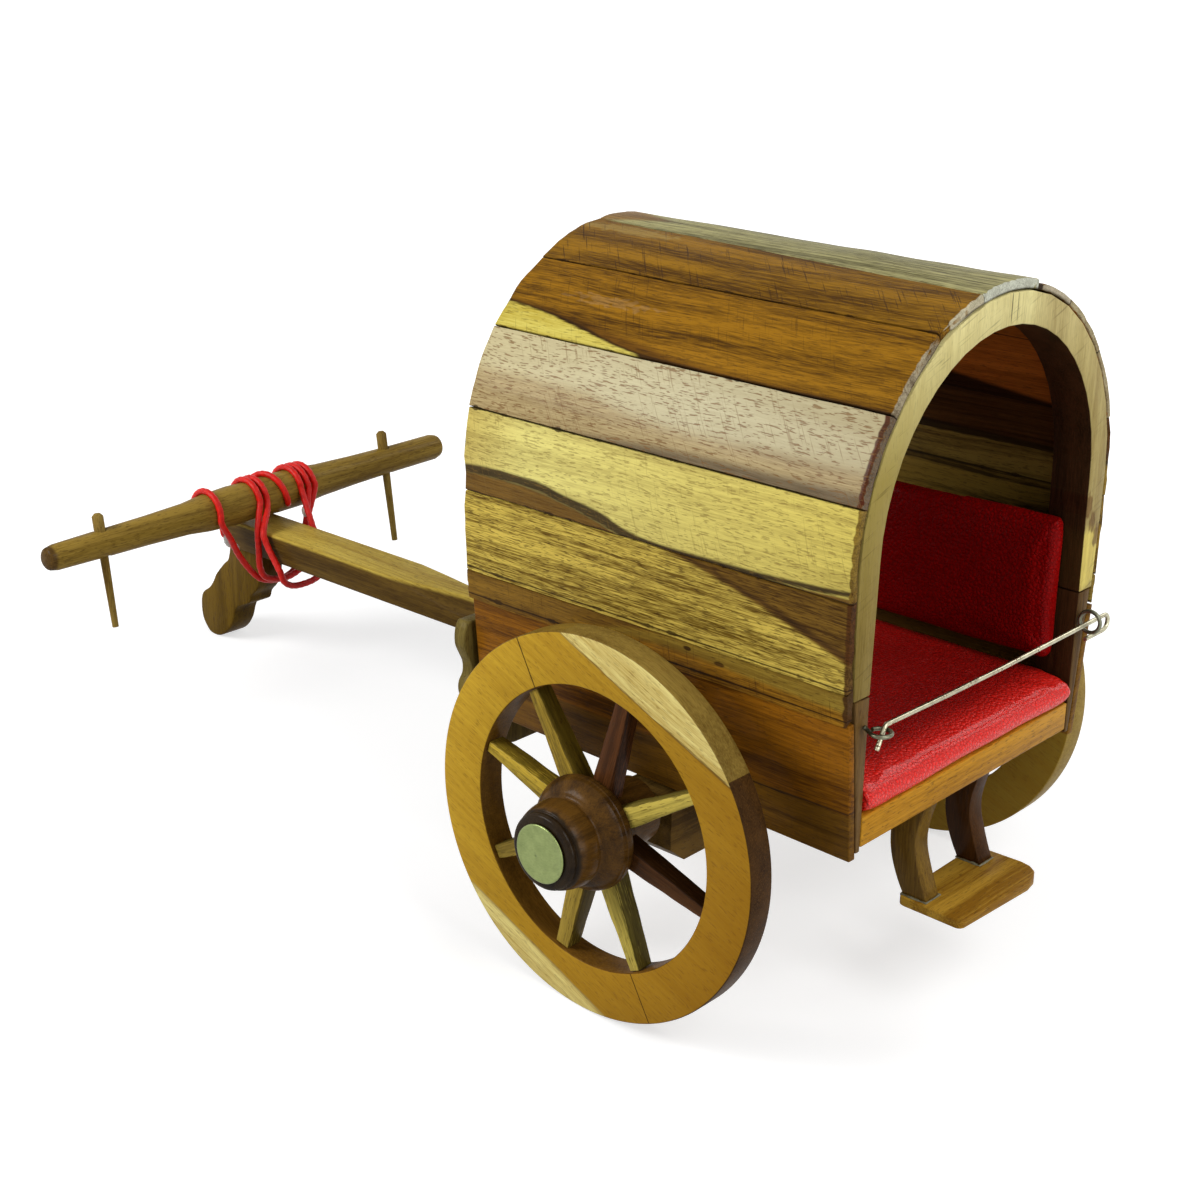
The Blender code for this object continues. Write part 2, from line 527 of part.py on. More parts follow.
def build_draught_gear(finishes):
    """Builds the pole, its foot, the yoke with its pins and the lashing."""
    rings = []
    start = BODY_FRONT + GAP + BOARD_THICKNESS + GAP
    for x, chamfer in [(start + along, size) for along, size in POLE_CHAMFERS] + [(POLE_FRONT, POLE_EDGE)]:
        w, t, b = POLE_HALF_WIDTH, POLE_TOP, POLE_FOOT
        rings.append([(x, -w, b), (x, w, b), (x, w, t - chamfer), (x, w - chamfer, t), (x, -w + chamfer, t),
                      (x, -w, t - chamfer)])
    objects = [loft("pole", rings, finishes["pole"])]
    objects.append(prism_y("pole_foot", foot_outline(), -FOOT_HALF_WIDTH, FOOT_HALF_WIDTH,
                           finishes["pole_foot"]))
    bevel(objects[-1], EDGE_ROUND)
    rings = []
    for along, radius in YOKE_STATIONS:
        centre = (YOKE_X, 0.0, yoke_height(along))
        rings.append([(centre[0] + radius * math.cos(math.tau * i / YOKE_SEGMENTS), along,
                       centre[2] + radius * math.sin(math.tau * i / YOKE_SEGMENTS)) for i in range(YOKE_SEGMENTS)])
    yoke = loft("yoke", rings, finishes["yoke"], smooth_angle=math.radians(40))
    objects.append(yoke)
    down = Vector((-math.sin(PIN_LEAN), 0.0, -math.cos(PIN_LEAN)))
    for side_name, offset, top, foot in PINS:
        middle = Vector((YOKE_X, offset, yoke_height(offset)))
        rings = []
        for along, radius in ((top, PIN_HEAD_RADIUS / 2), (top - PIN_HEAD_RADIUS / 2, PIN_HEAD_RADIUS),
                              (0.0, PIN_HEAD_RADIUS), (-PIN_HEAD_RADIUS, PIN_SHANK_RADIUS),
                              (foot, PIN_TIP_RADIUS)):
            rings.append(pin_ring(middle - down * along, down, radius))
        objects.append(loft(f"yoke_pin_{side_name}", rings, finishes["pin"], smooth_angle=math.radians(50)))
        rings = [pin_ring(middle - down * along, down, PIN_HEAD_RADIUS + GAP) for along in (top, -top)]
        cutter = loft(f"yoke_pin_{side_name}_cutter", rings, finishes["pin"])
        cut(yoke, cutter)
        objects.append(cutter)
    curve = bpy.data.curves.new("lashing", "CURVE")
    curve.dimensions = "3D"
    curve.bevel_depth = CORD_RADIUS
    curve.bevel_resolution = 2
    curve.use_fill_caps = True
    spline = curve.splines.new("POLY")
    path = lashing_path()
    spline.points.add(len(path) - 1)
    for point, place in zip(spline.points, path):
        point.co = (*place, 1.0)
    curve.materials.append(finishes["cord"])
    lashing = bpy.data.objects.new("lashing", curve)
    bpy.context.scene.collection.objects.link(lashing)
    objects.append(lashing)
    return objects


def foot_outline():
    """Returns the (x, z) outline of the pole's carved foot."""
    return [(POLE_FRONT + x, z) for x, z in curve_through(FOOT_OUTLINE)]


def yoke_height(along):
    """Returns the height of the yoke's tilted axis."""
    return YOKE_HEIGHT - along * math.tan(YOKE_TILT)


def yoke_radius(along):
    """Returns the yoke's radius between its stations."""
    for (start, first), (end, second) in zip(YOKE_STATIONS[:-1], YOKE_STATIONS[1:]):
        if start <= along <= end:
            return first + (second - first) * (along - start) / (end - start)
    return YOKE_STATIONS[0][1]


def over_yoke(start, end, turns):
    """Returns a pass of the cord round the yoke, from one place along it to another."""
    row = []
    slack = math.cos((CORD_OVER_TURNS[1] - CORD_OVER_TURNS[0]) / 2)
    for i, turn in enumerate(turns):
        along = start + (end - start) * i / (len(turns) - 1)
        reach = (yoke_radius(along) + CORD_RADIUS + GAP) / slack
        row.append((YOKE_X + reach * math.cos(turn), along, yoke_height(along) + reach * math.sin(turn)))
    return row


def lashing_path():
    """Returns the turns of the cord that ties the yoke on the pole."""
    end_face = POLE_FRONT + CORD_RADIUS + GAP
    path = []
    followers = CORD_OVER_LEFT[1:] + CORD_LAST_OVER[:1]
    for left, right, under, height, follower in zip(CORD_OVER_LEFT, CORD_OVER_RIGHT, CORD_UNDER, CORD_CROSS_HEIGHTS,
                                                    followers):
        path += over_yoke(left, left, CORD_OVER_TURNS)
        path += [(POLE_FRONT + x, y, z) for x, y, z in under]
        path += over_yoke(right, right, CORD_OVER_TURNS[::-1])
        path += [(end_face, CORD_CROSS_RIGHT, height), (end_face, follower, height),
                 (end_face, follower, POLE_TOP + CORD_RADIUS)]
    return path + over_yoke(*CORD_LAST_OVER, CORD_OVER_TURNS + (CORD_LAST_TURN,))


def pin_ring(centre, down, radius):
    """Returns a ring of points about a yoke pin's axis."""
    across = Vector((0.0, 1.0, 0.0))
    other = down.cross(across)
    return [centre + across * (radius * math.cos(math.tau * i / WIRE_SIDES))
            + other * (radius * math.sin(math.tau * i / WIRE_SIDES)) for i in range(WIRE_SIDES)]


def build_safety_bar(finishes):
    """Builds the wire bar across the rear and the two screw eyes that hold it."""
    half, height = ARCH_LEG_HALF_WIDTH, POST_TOP - BAR_BELOW_POST_TOP
    centre = (BAR_X, half + LEFT_EYE_CENTRE[0], height + LEFT_EYE_CENTRE[1])
    stem = Vector((BODY_REAR - GAP - EYE_WIRE_RADIUS, half + LEFT_EYE_SCREW[0], height + LEFT_EYE_SCREW[1]))
    ring = circle_path(centre, LEFT_EYE_RADIUS, EYE_SEGMENTS, (1, 0, 0), (0, 1, 0), LEFT_EYE_START, EYE_SWEEP)
    objects = [tube("screw_eye_left", [stem] + ring, EYE_WIRE_RADIUS, WIRE_SIDES, finishes["wire"])]
    pivot = bar_pivot()
    centre = Vector(pivot) + Vector((0.0, 0.0, RIGHT_EYE_RADIUS))
    ring = circle_path(centre, RIGHT_EYE_RADIUS, EYE_SEGMENTS, (1, 0, 0), (0, 0, 1))
    objects.append(tube("screw_eye_right", ring, EYE_WIRE_RADIUS, WIRE_SIDES, finishes["wire"], closed=True))
    span = [(share * half, height - sag) for share, sag in zip(BAR_SPAN_SHARES, BAR_SAGS)]
    top = span[0][1]
    foot = pivot[2] - EYE_WIRE_RADIUS - BAR_RADIUS - GAP
    loop = circle_path((BAR_X, -half - BAR_LOOP_REACH, (top + foot) / 2), (top - foot) / 2, LOOP_STEPS, (0, 0, -1),
                       (0, -1, 0), 0.0, math.pi)
    hook = [(half + y, height + z) for y, z in HOOK_POINTS]
    points = [(BAR_X, BAR_RETURN_REACH - half, foot)] + loop + [(BAR_X, y, z) for y, z in span + hook]
    objects.append(tube("safety_bar", points, BAR_RADIUS, WIRE_SIDES, finishes["wire"], origin=pivot))
    return objects


def bar_pivot():
    """Returns the lowest point of the right eye's wire, about which the bar lifts."""
    height = POST_TOP - BAR_BELOW_POST_TOP + RIGHT_EYE_CENTRE[1]
    return BAR_X, RIGHT_EYE_CENTRE[0] - ARCH_LEG_HALF_WIDTH, height - RIGHT_EYE_RADIUS


def parking_pitch():
    """Returns the nose-down turn about the axle that brings the pole's foot to the ground."""
    pitches = []
    for x, z in foot_outline():
        below = AXLE_HEIGHT - z
        reach = math.hypot(x, below)
        pitches.append(math.asin(WHEEL_RADIUS / reach) - math.atan2(below, x))
    return min(pitches)


def park(objects):
    """Pitches the cart about its axle and centres its bounding box over the origin."""
    axle = Matrix.Translation((0.0, 0.0, AXLE_HEIGHT))
    pitch = axle @ Matrix.Rotation(parking_pitch(), 4, "Y") @ axle.inverted()
    for obj in objects:
        obj.matrix_world = pitch @ Matrix.Translation(obj.location)
    bpy.context.view_layer.update()
    reaches = []
    for obj in objects:
        if not obj.hide_render:
            reaches += [(obj.matrix_world @ Vector(corner)).x for corner in obj.bound_box]
    shift = Matrix.Translation((-(min(reaches) + max(reaches)) / 2, 0.0, WHEEL_RADIUS - AXLE_HEIGHT))
    for obj in objects:
        obj.matrix_world = shift @ obj.matrix_world
    return shift @ pitch


def build():
    """Builds the whole cart."""
    finishes = {
        "rim": material("rim_wood", (0.50, 0.30, 0.10), 0.45),
        "hub": material("walnut", (0.16, 0.07, 0.03), 0.35),
        "brass": material("brass", (0.62, 0.60, 0.32), 0.30, 1.0),
        "spoke": material("spoke_wood", (0.42, 0.26, 0.10), 0.45),
        "floor": material("floor_wood", (0.48, 0.27, 0.09), 0.45),
        "arch": material("arch_wood", (0.50, 0.36, 0.13), 0.45),
        "post": material("post_wood", (0.10, 0.06, 0.03), 0.50),
        "plank": material("plank_wood", (0.38, 0.22, 0.09), 0.45),
        "side_board": material("side_board_wood", (0.30, 0.14, 0.05), 0.45),
        "leatherette": material("leatherette", (0.55, 0.02, 0.02), 0.35),
        "axle": material("axle_wood", (0.14, 0.09, 0.05), 0.50),
        "front_board": material("front_board_wood", (0.26, 0.20, 0.11), 0.50),
        "bracket": material("bracket_wood", (0.14, 0.09, 0.06), 0.50),
        "step": material("step_wood", (0.45, 0.29, 0.10), 0.45),
        "pole": material("pole_wood", (0.40, 0.28, 0.10), 0.45),
        "pole_foot": material("pole_foot_wood", (0.16, 0.10, 0.03), 0.50),
        "yoke": material("yoke_wood", (0.26, 0.16, 0.05), 0.45),
        "pin": material("pin_wood", (0.26, 0.19, 0.08), 0.50),
        "cord": material("red_cord", (0.60, 0.02, 0.01), 0.60),
        "wire": material("steel_wire", (0.55, 0.55, 0.50), 0.40, 1.0),
    }
    objects = build_body(finishes) + build_trim(finishes) + build_underbody(finishes)
    objects += build_draught_gear(finishes) + build_safety_bar(finishes)
    objects += build_wheel("left", 1.0, finishes) + build_wheel("right", -1.0, finishes)
    return park(objects)


for old in list(bpy.data.objects):
    bpy.data.objects.remove(old, do_unlink=True)
PARKED = build()
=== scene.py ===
"""Looks of a small wooden souvenir model of a covered bullock cart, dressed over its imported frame.

Everything is in metres with +Z up. Sizes given "level" are those of the cart before it is parked: the axle is at x = 0
and z = 0.05, +X points to the yoke and +Y to the cart's left side. Grain sizes in the finishes are in millimetres.
"""
import logging
import math
from dataclasses import dataclass, replace
from enum import Enum
from typing import Callable, Optional, Sequence, Union

import bmesh
import bpy
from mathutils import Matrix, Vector, noise


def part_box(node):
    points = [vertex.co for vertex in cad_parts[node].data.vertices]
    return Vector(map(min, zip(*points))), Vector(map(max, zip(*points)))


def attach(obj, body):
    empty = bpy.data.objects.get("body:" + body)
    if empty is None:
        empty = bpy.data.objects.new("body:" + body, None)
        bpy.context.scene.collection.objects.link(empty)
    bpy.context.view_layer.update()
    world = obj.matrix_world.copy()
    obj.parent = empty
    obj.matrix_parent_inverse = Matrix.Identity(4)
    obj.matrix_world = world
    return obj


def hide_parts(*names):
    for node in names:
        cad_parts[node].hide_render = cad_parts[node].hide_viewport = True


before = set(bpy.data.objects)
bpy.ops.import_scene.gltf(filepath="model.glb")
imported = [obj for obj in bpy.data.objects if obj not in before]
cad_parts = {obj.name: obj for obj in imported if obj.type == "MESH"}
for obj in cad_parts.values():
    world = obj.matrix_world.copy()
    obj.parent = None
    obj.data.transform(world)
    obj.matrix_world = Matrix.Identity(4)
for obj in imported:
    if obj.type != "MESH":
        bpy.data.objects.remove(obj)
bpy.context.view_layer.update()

LOG = logging.getLogger("cart")
NOISE_SEED = 7
noise.seed_set(NOISE_SEED)
MM = 0.001
LEAN = (0.997807, 0.066186)
SHIFT = (-0.088216, 0.00011)
AXLE_Z = 0.05
ARCH_Z = 0.1257
ARCH_R = 0.0542
HOOD_R = 56.9
CURVE_END = 65.0
# Depths in mm over which the painted shade on the hood's inner faces fades out.
INNER_SHADE_DEPTHS = (54.7, 55.1)
PLANK_REAR = -62.0
MERGE = 2e-6
IN_PLANE = math.radians(0.6)

Colour = tuple[float, float, float]
Curve = tuple[tuple[float, float], ...]


def parked(x: float, y: float, z: float) -> Vector:
    """Gives the place in the scene of a point of the level cart.

    Args:
        x: distance ahead of the axle in metres.
        y: distance to the left of the middle in metres.
        z: height in metres.

    Returns:
        The point as it stands parked.
    """
    return Vector((LEAN[0] * x + LEAN[1] * z + SHIFT[0], y, -LEAN[1] * x + LEAN[0] * z + SHIFT[1]))


# ---------------------------------------------------------------------------------------------------------------------
# Shader arithmetic
# ---------------------------------------------------------------------------------------------------------------------
class Value:
    """One number socket of a finish's node tree, on which arithmetic adds Math nodes."""

    def __init__(self, graph: "Graph", socket: bpy.types.NodeSocket) -> None:
        """Keeps the socket and the tree that it belongs to."""
        self.graph = graph
        self.socket = socket

    def __add__(self, other: "Number") -> "Value":
        """Adds."""
        return self.graph.math("ADD", self, other)

    __radd__ = __add__

    def __sub__(self, other: "Number") -> "Value":
        """Takes away."""
        return self.graph.math("SUBTRACT", self, other)

    def __rsub__(self, other: "Number") -> "Value":
        """Is taken away from a number."""
        return self.graph.math("SUBTRACT", other, self)

    def __mul__(self, other: "Number") -> "Value":
        """Multiplies."""
        return self.graph.math("MULTIPLY", self, other)

    __rmul__ = __mul__

    def __truediv__(self, other: "Number") -> "Value":
        """Divides."""
        return self.graph.math("DIVIDE", self, other)

    def __abs__(self) -> "Value":
        """Drops the sign."""
        return self.graph.math("ABSOLUTE", self)

    def ease(self, low: "Number", high: "Number") -> "Value":
        """Runs smoothly from 0 at the low value to 1 at the high one.

        Args:
            low: value at which the result leaves 0.
            high: value at which the result reaches 1.

        Returns:
            The eased value.
        """
        return self.graph.node("ShaderNodeMapRange", {"interpolation_type": "SMOOTHSTEP"},
                               {0: self, 1: low, 2: high, 3: 0.0, 4: 1.0})

    def between(self, low: "Number", high: "Number", blur: float) -> "Value":
        """Is 1 between two values and 0 outside, with soft ends.

        Args:
            low: lower end.
            high: upper end.
            blur: half the width of each soft end.

        Returns:
            The mask.
        """
        return (self - low).ease(-blur, blur) * (1 - (self - high).ease(-blur, blur))


Number = Union[float, Value]


class Graph:
    """Node tree of one finish, with the Principled shader that it feeds, or of the world."""

    def __init__(self, name: str, world: bool = False) -> None:
        """Starts a material or a world.

        Args:
            name: its name.
            world: whether it is a world.
        """
        self.material = (bpy.data.worlds if world else bpy.data.materials).new(name)
        self.material.use_nodes = True
        self.tree = self.material.node_tree
        self.shader = self.tree.nodes["Background" if world else "Principled BSDF"]

    def node(self, kind: str, settings: dict, inputs: dict, output: Union[int, str] = 0) -> Value:
        """Adds a node.

        Args:
            kind: the node's type.
            settings: its properties, set first; "stops" fills a ramp and "points" a curve.
            inputs: values or links of its sockets, by index or name.
            output: the output socket that is used.

        Returns:
            The output socket as a value.
        """
        made = self.tree.nodes.new(kind)
        for key, setting in settings.items():
            if key == "stops":
                for _ in range(len(setting) - 2):
                    made.color_ramp.elements.new(0.5)
                for element, (place, colour) in zip(made.color_ramp.elements, setting):
                    element.position = place
                    element.color = (*colour, 1.0)
            elif key == "points":
                curve = made.mapping.curves[0]
                for _ in range(len(setting) - 2):
                    curve.points.new(0.5, 0.5)
                for point, place in zip(curve.points, sorted(setting)):
                    point.location = place
                made.mapping.update()
            else:
                setattr(made, key, setting)
        for key, given in inputs.items():
            socket = made.inputs[key]
            if isinstance(given, Value):
                self.tree.links.new(given.socket, socket)
            elif isinstance(given, tuple) and len(given) == 3 and socket.type == "RGBA":
                socket.default_value = (*given, 1.0)
            else:
                socket.default_value = given
        return Value(self, made.outputs[output])

    def math(self, operation: str, *numbers: Number) -> Value:
        """Adds a Math node on one, two or three numbers."""
        return self.node("ShaderNodeMath", {"operation": operation}, dict(enumerate(numbers)))

    def least(self, first: Number, second: Number) -> Value:
        """Gives the smaller number."""
        return self.math("MINIMUM", first, second)

    def most(self, first: Number, second: Number) -> Value:
        """Gives the larger number."""
        return self.math("MAXIMUM", first, second)

    def mix(self, factor: Number, first: Union[Colour, Value], second: Union[Colour, Value]) -> Value:
        """Mixes two colours."""
        return self.node("ShaderNodeMix", {"data_type": "RGBA"}, {0: factor, 6: first, 7: second}, 2)

    def vector(self, x: Number, y: Number, z: Number) -> Value:
        """Joins three numbers."""
        return self.node("ShaderNodeCombineXYZ", {}, {0: x, 1: y, 2: z})

    def axes(self, vector: Value) -> tuple[Value, Value, Value]:
        """Splits a vector into its three numbers.

        Args:
            vector: the vector.

        Returns:
            Its x, y and z.
        """
        first = self.node("ShaderNodeSeparateXYZ", {}, {0: vector})
        parts = first.socket.node.outputs
        return first, Value(self, parts[1]), Value(self, parts[2])

    def noise(self, place: Value, scale: float = 1.0, detail: float = 0.0, distortion: float = 0.0) -> Value:
        """Adds smooth noise from 0 to 1."""
        return self.node("ShaderNodeTexNoise", {}, {"Vector": place, "Scale": scale, "Detail": detail,
                                                     "Roughness": 0.55, "Distortion": distortion})

    def cells(self, place: Value, scale: float, feature: str = "F1") -> Value:
        """Adds the distance within a pattern of cells."""
        return self.node("ShaderNodeTexVoronoi", {"feature": feature}, {"Vector": place, "Scale": scale})

    def follow(self, along: Value, curve: Curve) -> Value:
        """Follows a curve drawn on a board.

        Args:
            along: place along the board in mm.
            curve: points (along, across) in mm.

        Returns:
            The curve's place across the board there, in mm.
        """
        low, high = min(v for _, v in curve) - 1.0, max(v for _, v in curve) + 1.0
        points = [((x + CURVE_END) / (2 * CURVE_END), (v - low) / (high - low)) for x, v in curve]
        drawn = self.node("ShaderNodeFloatCurve", {"points": points}, {"Value": (along + CURVE_END) / (2 * CURVE_END)})
        return drawn * (high - low) + low

    def place(self) -> tuple[Value, Value, Value]:
        """Gives the point's level place on the cart.

        Returns:
            Its distance ahead of the axle, to the left and up, in mm.
        """
        x, y, z = self.axes(self.node("ShaderNodeTexCoord", {}, {}, "Object"))
        ahead, up = x - SHIFT[0], z - SHIFT[1]
        return ((ahead * LEAN[0] - up * LEAN[1]) / MM, y / MM, (ahead * LEAN[1] + up * LEAN[0]) / MM)

    def seen(self) -> Value:
        """Gives 1 for rays of the camera and those mirrored or let through on their way to it."""
        rays = [self.node("ShaderNodeLightPath", {}, {}, f"Is {kind} Ray")
                for kind in ("Camera", "Glossy", "Transmission")]
        return self.least(rays[0] + rays[1] + rays[2], 1.0)

    def blend(self, factor: Value, first: Value, second: Value) -> None:
        """Puts a mix of two shaders out.

        Args:
            factor: the second one's share.
            first: the shader at 0.
            second: the shader at 1.
        """
        mixed = self.node("ShaderNodeMixShader", {}, {0: factor, 1: first, 2: second})
        ends = [node for node in self.tree.nodes if node.type in ("OUTPUT_MATERIAL", "OUTPUT_WORLD")]
        self.tree.links.new(mixed.socket, ends[0].inputs[0])

    def finish(self, colour: Value, roughness: Number, height: Value, depth: float,
               sheen: "Gloss") -> bpy.types.Material:
        """Feeds the shader.

        Args:
            colour: the surface's colour.
            roughness: its roughness.
            height: its relief from 0 to 1.
            depth: what a height of 1 stands for, in metres.
            sheen: the constants of its gloss.

        Returns:
            The finished material.
        """
        bump = self.node("ShaderNodeBump", {}, {"Height": height, "Strength": 1.0, "Distance": depth})
        for key, given in (("Base Color", colour), ("Roughness", roughness), ("Normal", bump)):
            if isinstance(given, Value):
                self.tree.links.new(given.socket, self.shader.inputs[key])
            else:
                self.shader.inputs[key].default_value = given
        for key, number in (("Metallic", sheen.metal), ("Coat Weight", sheen.coat),
                            ("Coat Roughness", sheen.coat_rough), ("Specular IOR Level", sheen.specular),
                            ("Alpha", sheen.alpha)):
            self.shader.inputs[key].default_value = number
        return self.material


@dataclass(frozen=True)
class Gloss:
    """Constants of a finish's gloss."""

    coat: float = 0.0
    coat_rough: float = 0.2
    metal: float = 0.0
    specular: float = 0.5
    alpha: float = 1.0


# ---------------------------------------------------------------------------------------------------------------------
# Finishes
# ---------------------------------------------------------------------------------------------------------------------
Grain = tuple[Value, Value, Value]


class Lay(Enum):
    """How the fibres run: along the cart, across it, upright in a side or an end face, or in the hood's planks."""

    ALONG = "along"
    ACROSS = "across"
    UPRIGHT = "upright"
    FACE = "face"
    HOOD = "hood"

    def grain(self, graph: Graph) -> Grain:
        """Gives the point's place in the board.

        Args:
            graph: the finish's tree.

        Returns:
            Its distances along the fibres, across them and into the board, in mm.
        """
        x, y, z = graph.place()
        if self is Lay.ALONG:
            return x, y, z
        if self is Lay.ACROSS:
            return y, x, z
        if self is Lay.UPRIGHT:
            return z, x, y
        if self is Lay.FACE:
            return z, y, x
        height = z - ARCH_Z / MM
        side = abs(y)
        turn = graph.least(graph.math("ARCTAN2", side, height), math.pi / 2)
        across = turn * HOOD_R + graph.most(height * -1, 0.0)
        depth = graph.math("SQRT", side * side + height * height)
        return x, across, depth


@dataclass(frozen=True)
class Turned:
    """Fibres that run out from the axle at an angle, as in a spoke, or across the wheel, as in its rim."""

    angle: float

    def grain(self, graph: Graph) -> Grain:
        """Gives the point's place in the piece.

        Args:
            graph: the finish's tree.

        Returns:
            Its distances along the fibres, across them and into the piece, in mm.
        """
        x, y, z = graph.place()
        up = z - AXLE_Z / MM
        c, s = math.cos(self.angle), math.sin(self.angle)
        return x * c + up * s, up * c - x * s, y


@dataclass(frozen=True)
class Band:
    """Part of a board with another colour, between two curves (along, across) in mm."""

    light: Colour
    dark: Colour
    upper: Curve
    lower: Curve
    blur: float = 0.5
    strength: float = 1.0

    def mask(self, graph: Graph, along: Value, across: Value, depth: Value) -> Value:
        """Gives 1 inside the band."""
        upper, lower = graph.follow(along, self.upper), graph.follow(along, self.lower)
        return across.between(upper, lower, self.blur) * self.strength


@dataclass(frozen=True)
class Spot:
    """Oval patch on a board, such as a knot or a scuff, in mm."""

    light: Colour
    dark: Colour
    centre: tuple[float, float]
    reach: tuple[float, float]
    strength: float = 1.0
    ragged: float = 0.5

    def mask(self, graph: Graph, along: Value, across: Value, depth: Value) -> Value:
        """Gives 1 in the patch.

        Args:
            graph: the finish's tree.
            along: place along the board in mm.
            across: place across it in mm.
            depth: not used.

        Returns:
            The mask.
        """
        a = (along - self.centre[0]) / self.reach[0]
        b = (across - self.centre[1]) / self.reach[1]
        rough = graph.noise(graph.vector(along * 0.5, across * 0.9, self.centre[0])) - 0.5
        return (1 - (a * a + b * b + rough * (2 * self.ragged)).ease(0.45, 1.25)) * self.strength


@dataclass(frozen=True)
class EndStrip:
    """Another colour at the end of a board, between two places along it in mm."""

    light: Colour
    dark: Colour
    start: float
    end: float
    blur: float = 0.25
    strength: float = 1.0

    def mask(self, graph: Graph, along: Value, across: Value, depth: Value) -> Value:
        """Gives 1 in the strip, whose edge runs unevenly."""
        rough = (graph.noise(graph.vector(across * 0.5, self.start, 3.0)) - 0.5) * 1.2
        return (along + rough).between(self.start, self.end, self.blur) * self.strength


@dataclass(frozen=True)
class Layer:
    """Another colour on all of a piece that lies below a place in its depth, in mm."""

    light: Colour
    dark: Colour
    top: float
    blur: float = 0.3
    strength: float = 1.0

    def mask(self, graph: Graph, along: Value, across: Value, depth: Value) -> Value:
        """Gives 1 below that place."""
        return (1 - (depth - self.top).ease(-self.blur, self.blur)) * self.strength


@dataclass(frozen=True)
class Ring:
    """Another colour between two distances from a centre (along, across), in mm, from a depth on.

    With upper set, what lies below the centre is measured level with it. A split (a, b, low, high, way) keeps only the
    places where a * along + b * across lies between two values, on one side of the centre where the way is 1 or -1.
    """

    light: Colour
    dark: Colour
    centre: tuple[float, float]
    inner: float
    outer: float
    blur: float = 0.12
    strength: float = 1.0
    upper: bool = False
    beyond: float = -999.0
    split: Optional[tuple[float, float, float, float, float]] = None

    def mask(self, graph: Graph, along: Value, across: Value, depth: Value) -> Value:
        """Gives 1 between both distances.

        Args:
            graph: the finish's tree.
            along: place along the fibres in mm.
            across: place across them in mm.
            depth: place into the piece in mm.

        Returns:
            The mask.
        """
        a, b = along - self.centre[0], across - self.centre[1]
        if self.upper:
            a = graph.most(a, 0.0)
        ring = graph.math("SQRT", a * a + b * b).between(self.inner, self.outer, self.blur) * self.strength
        if self.split is not None:
            ca, cb, low, high, way = self.split
            ring = ring * (a * ca + b * cb).between(low, high, 0.09)
            if way:
                ring = ring * ((b * ca - a * cb) * way).ease(-1.0, 1.0)
        return ring * (depth - self.beyond).ease(-0.1, 0.15)


@dataclass(frozen=True)
class Arris:
    """Dark, chipped edge of a board at a place across it, in mm."""

    place: float
    light: Colour = (0.035, 0.016, 0.006)
    dark: Colour = (0.012, 0.006, 0.003)
    reach: float = 0.20
    chips: float = 0.75
    strength: float = 0.85

    def mask(self, graph: Graph, along: Value, across: Value, depth: Value) -> Value:
        """Gives 1 at the edge and in the chips beside it.

        Args:
            graph: the finish's tree.
            along: place along the board in mm.
            across: place across it in mm.
            depth: not used.

        Returns:
            The mask.
        """
        chip = graph.noise(graph.vector(along * 0.19, self.place, 1.7), detail=3.0).ease(0.50, 0.86)
        far = abs(across - self.place) - chip * self.chips
        return (1 - far.ease(self.reach * 0.4, self.reach * 1.6)) * self.strength


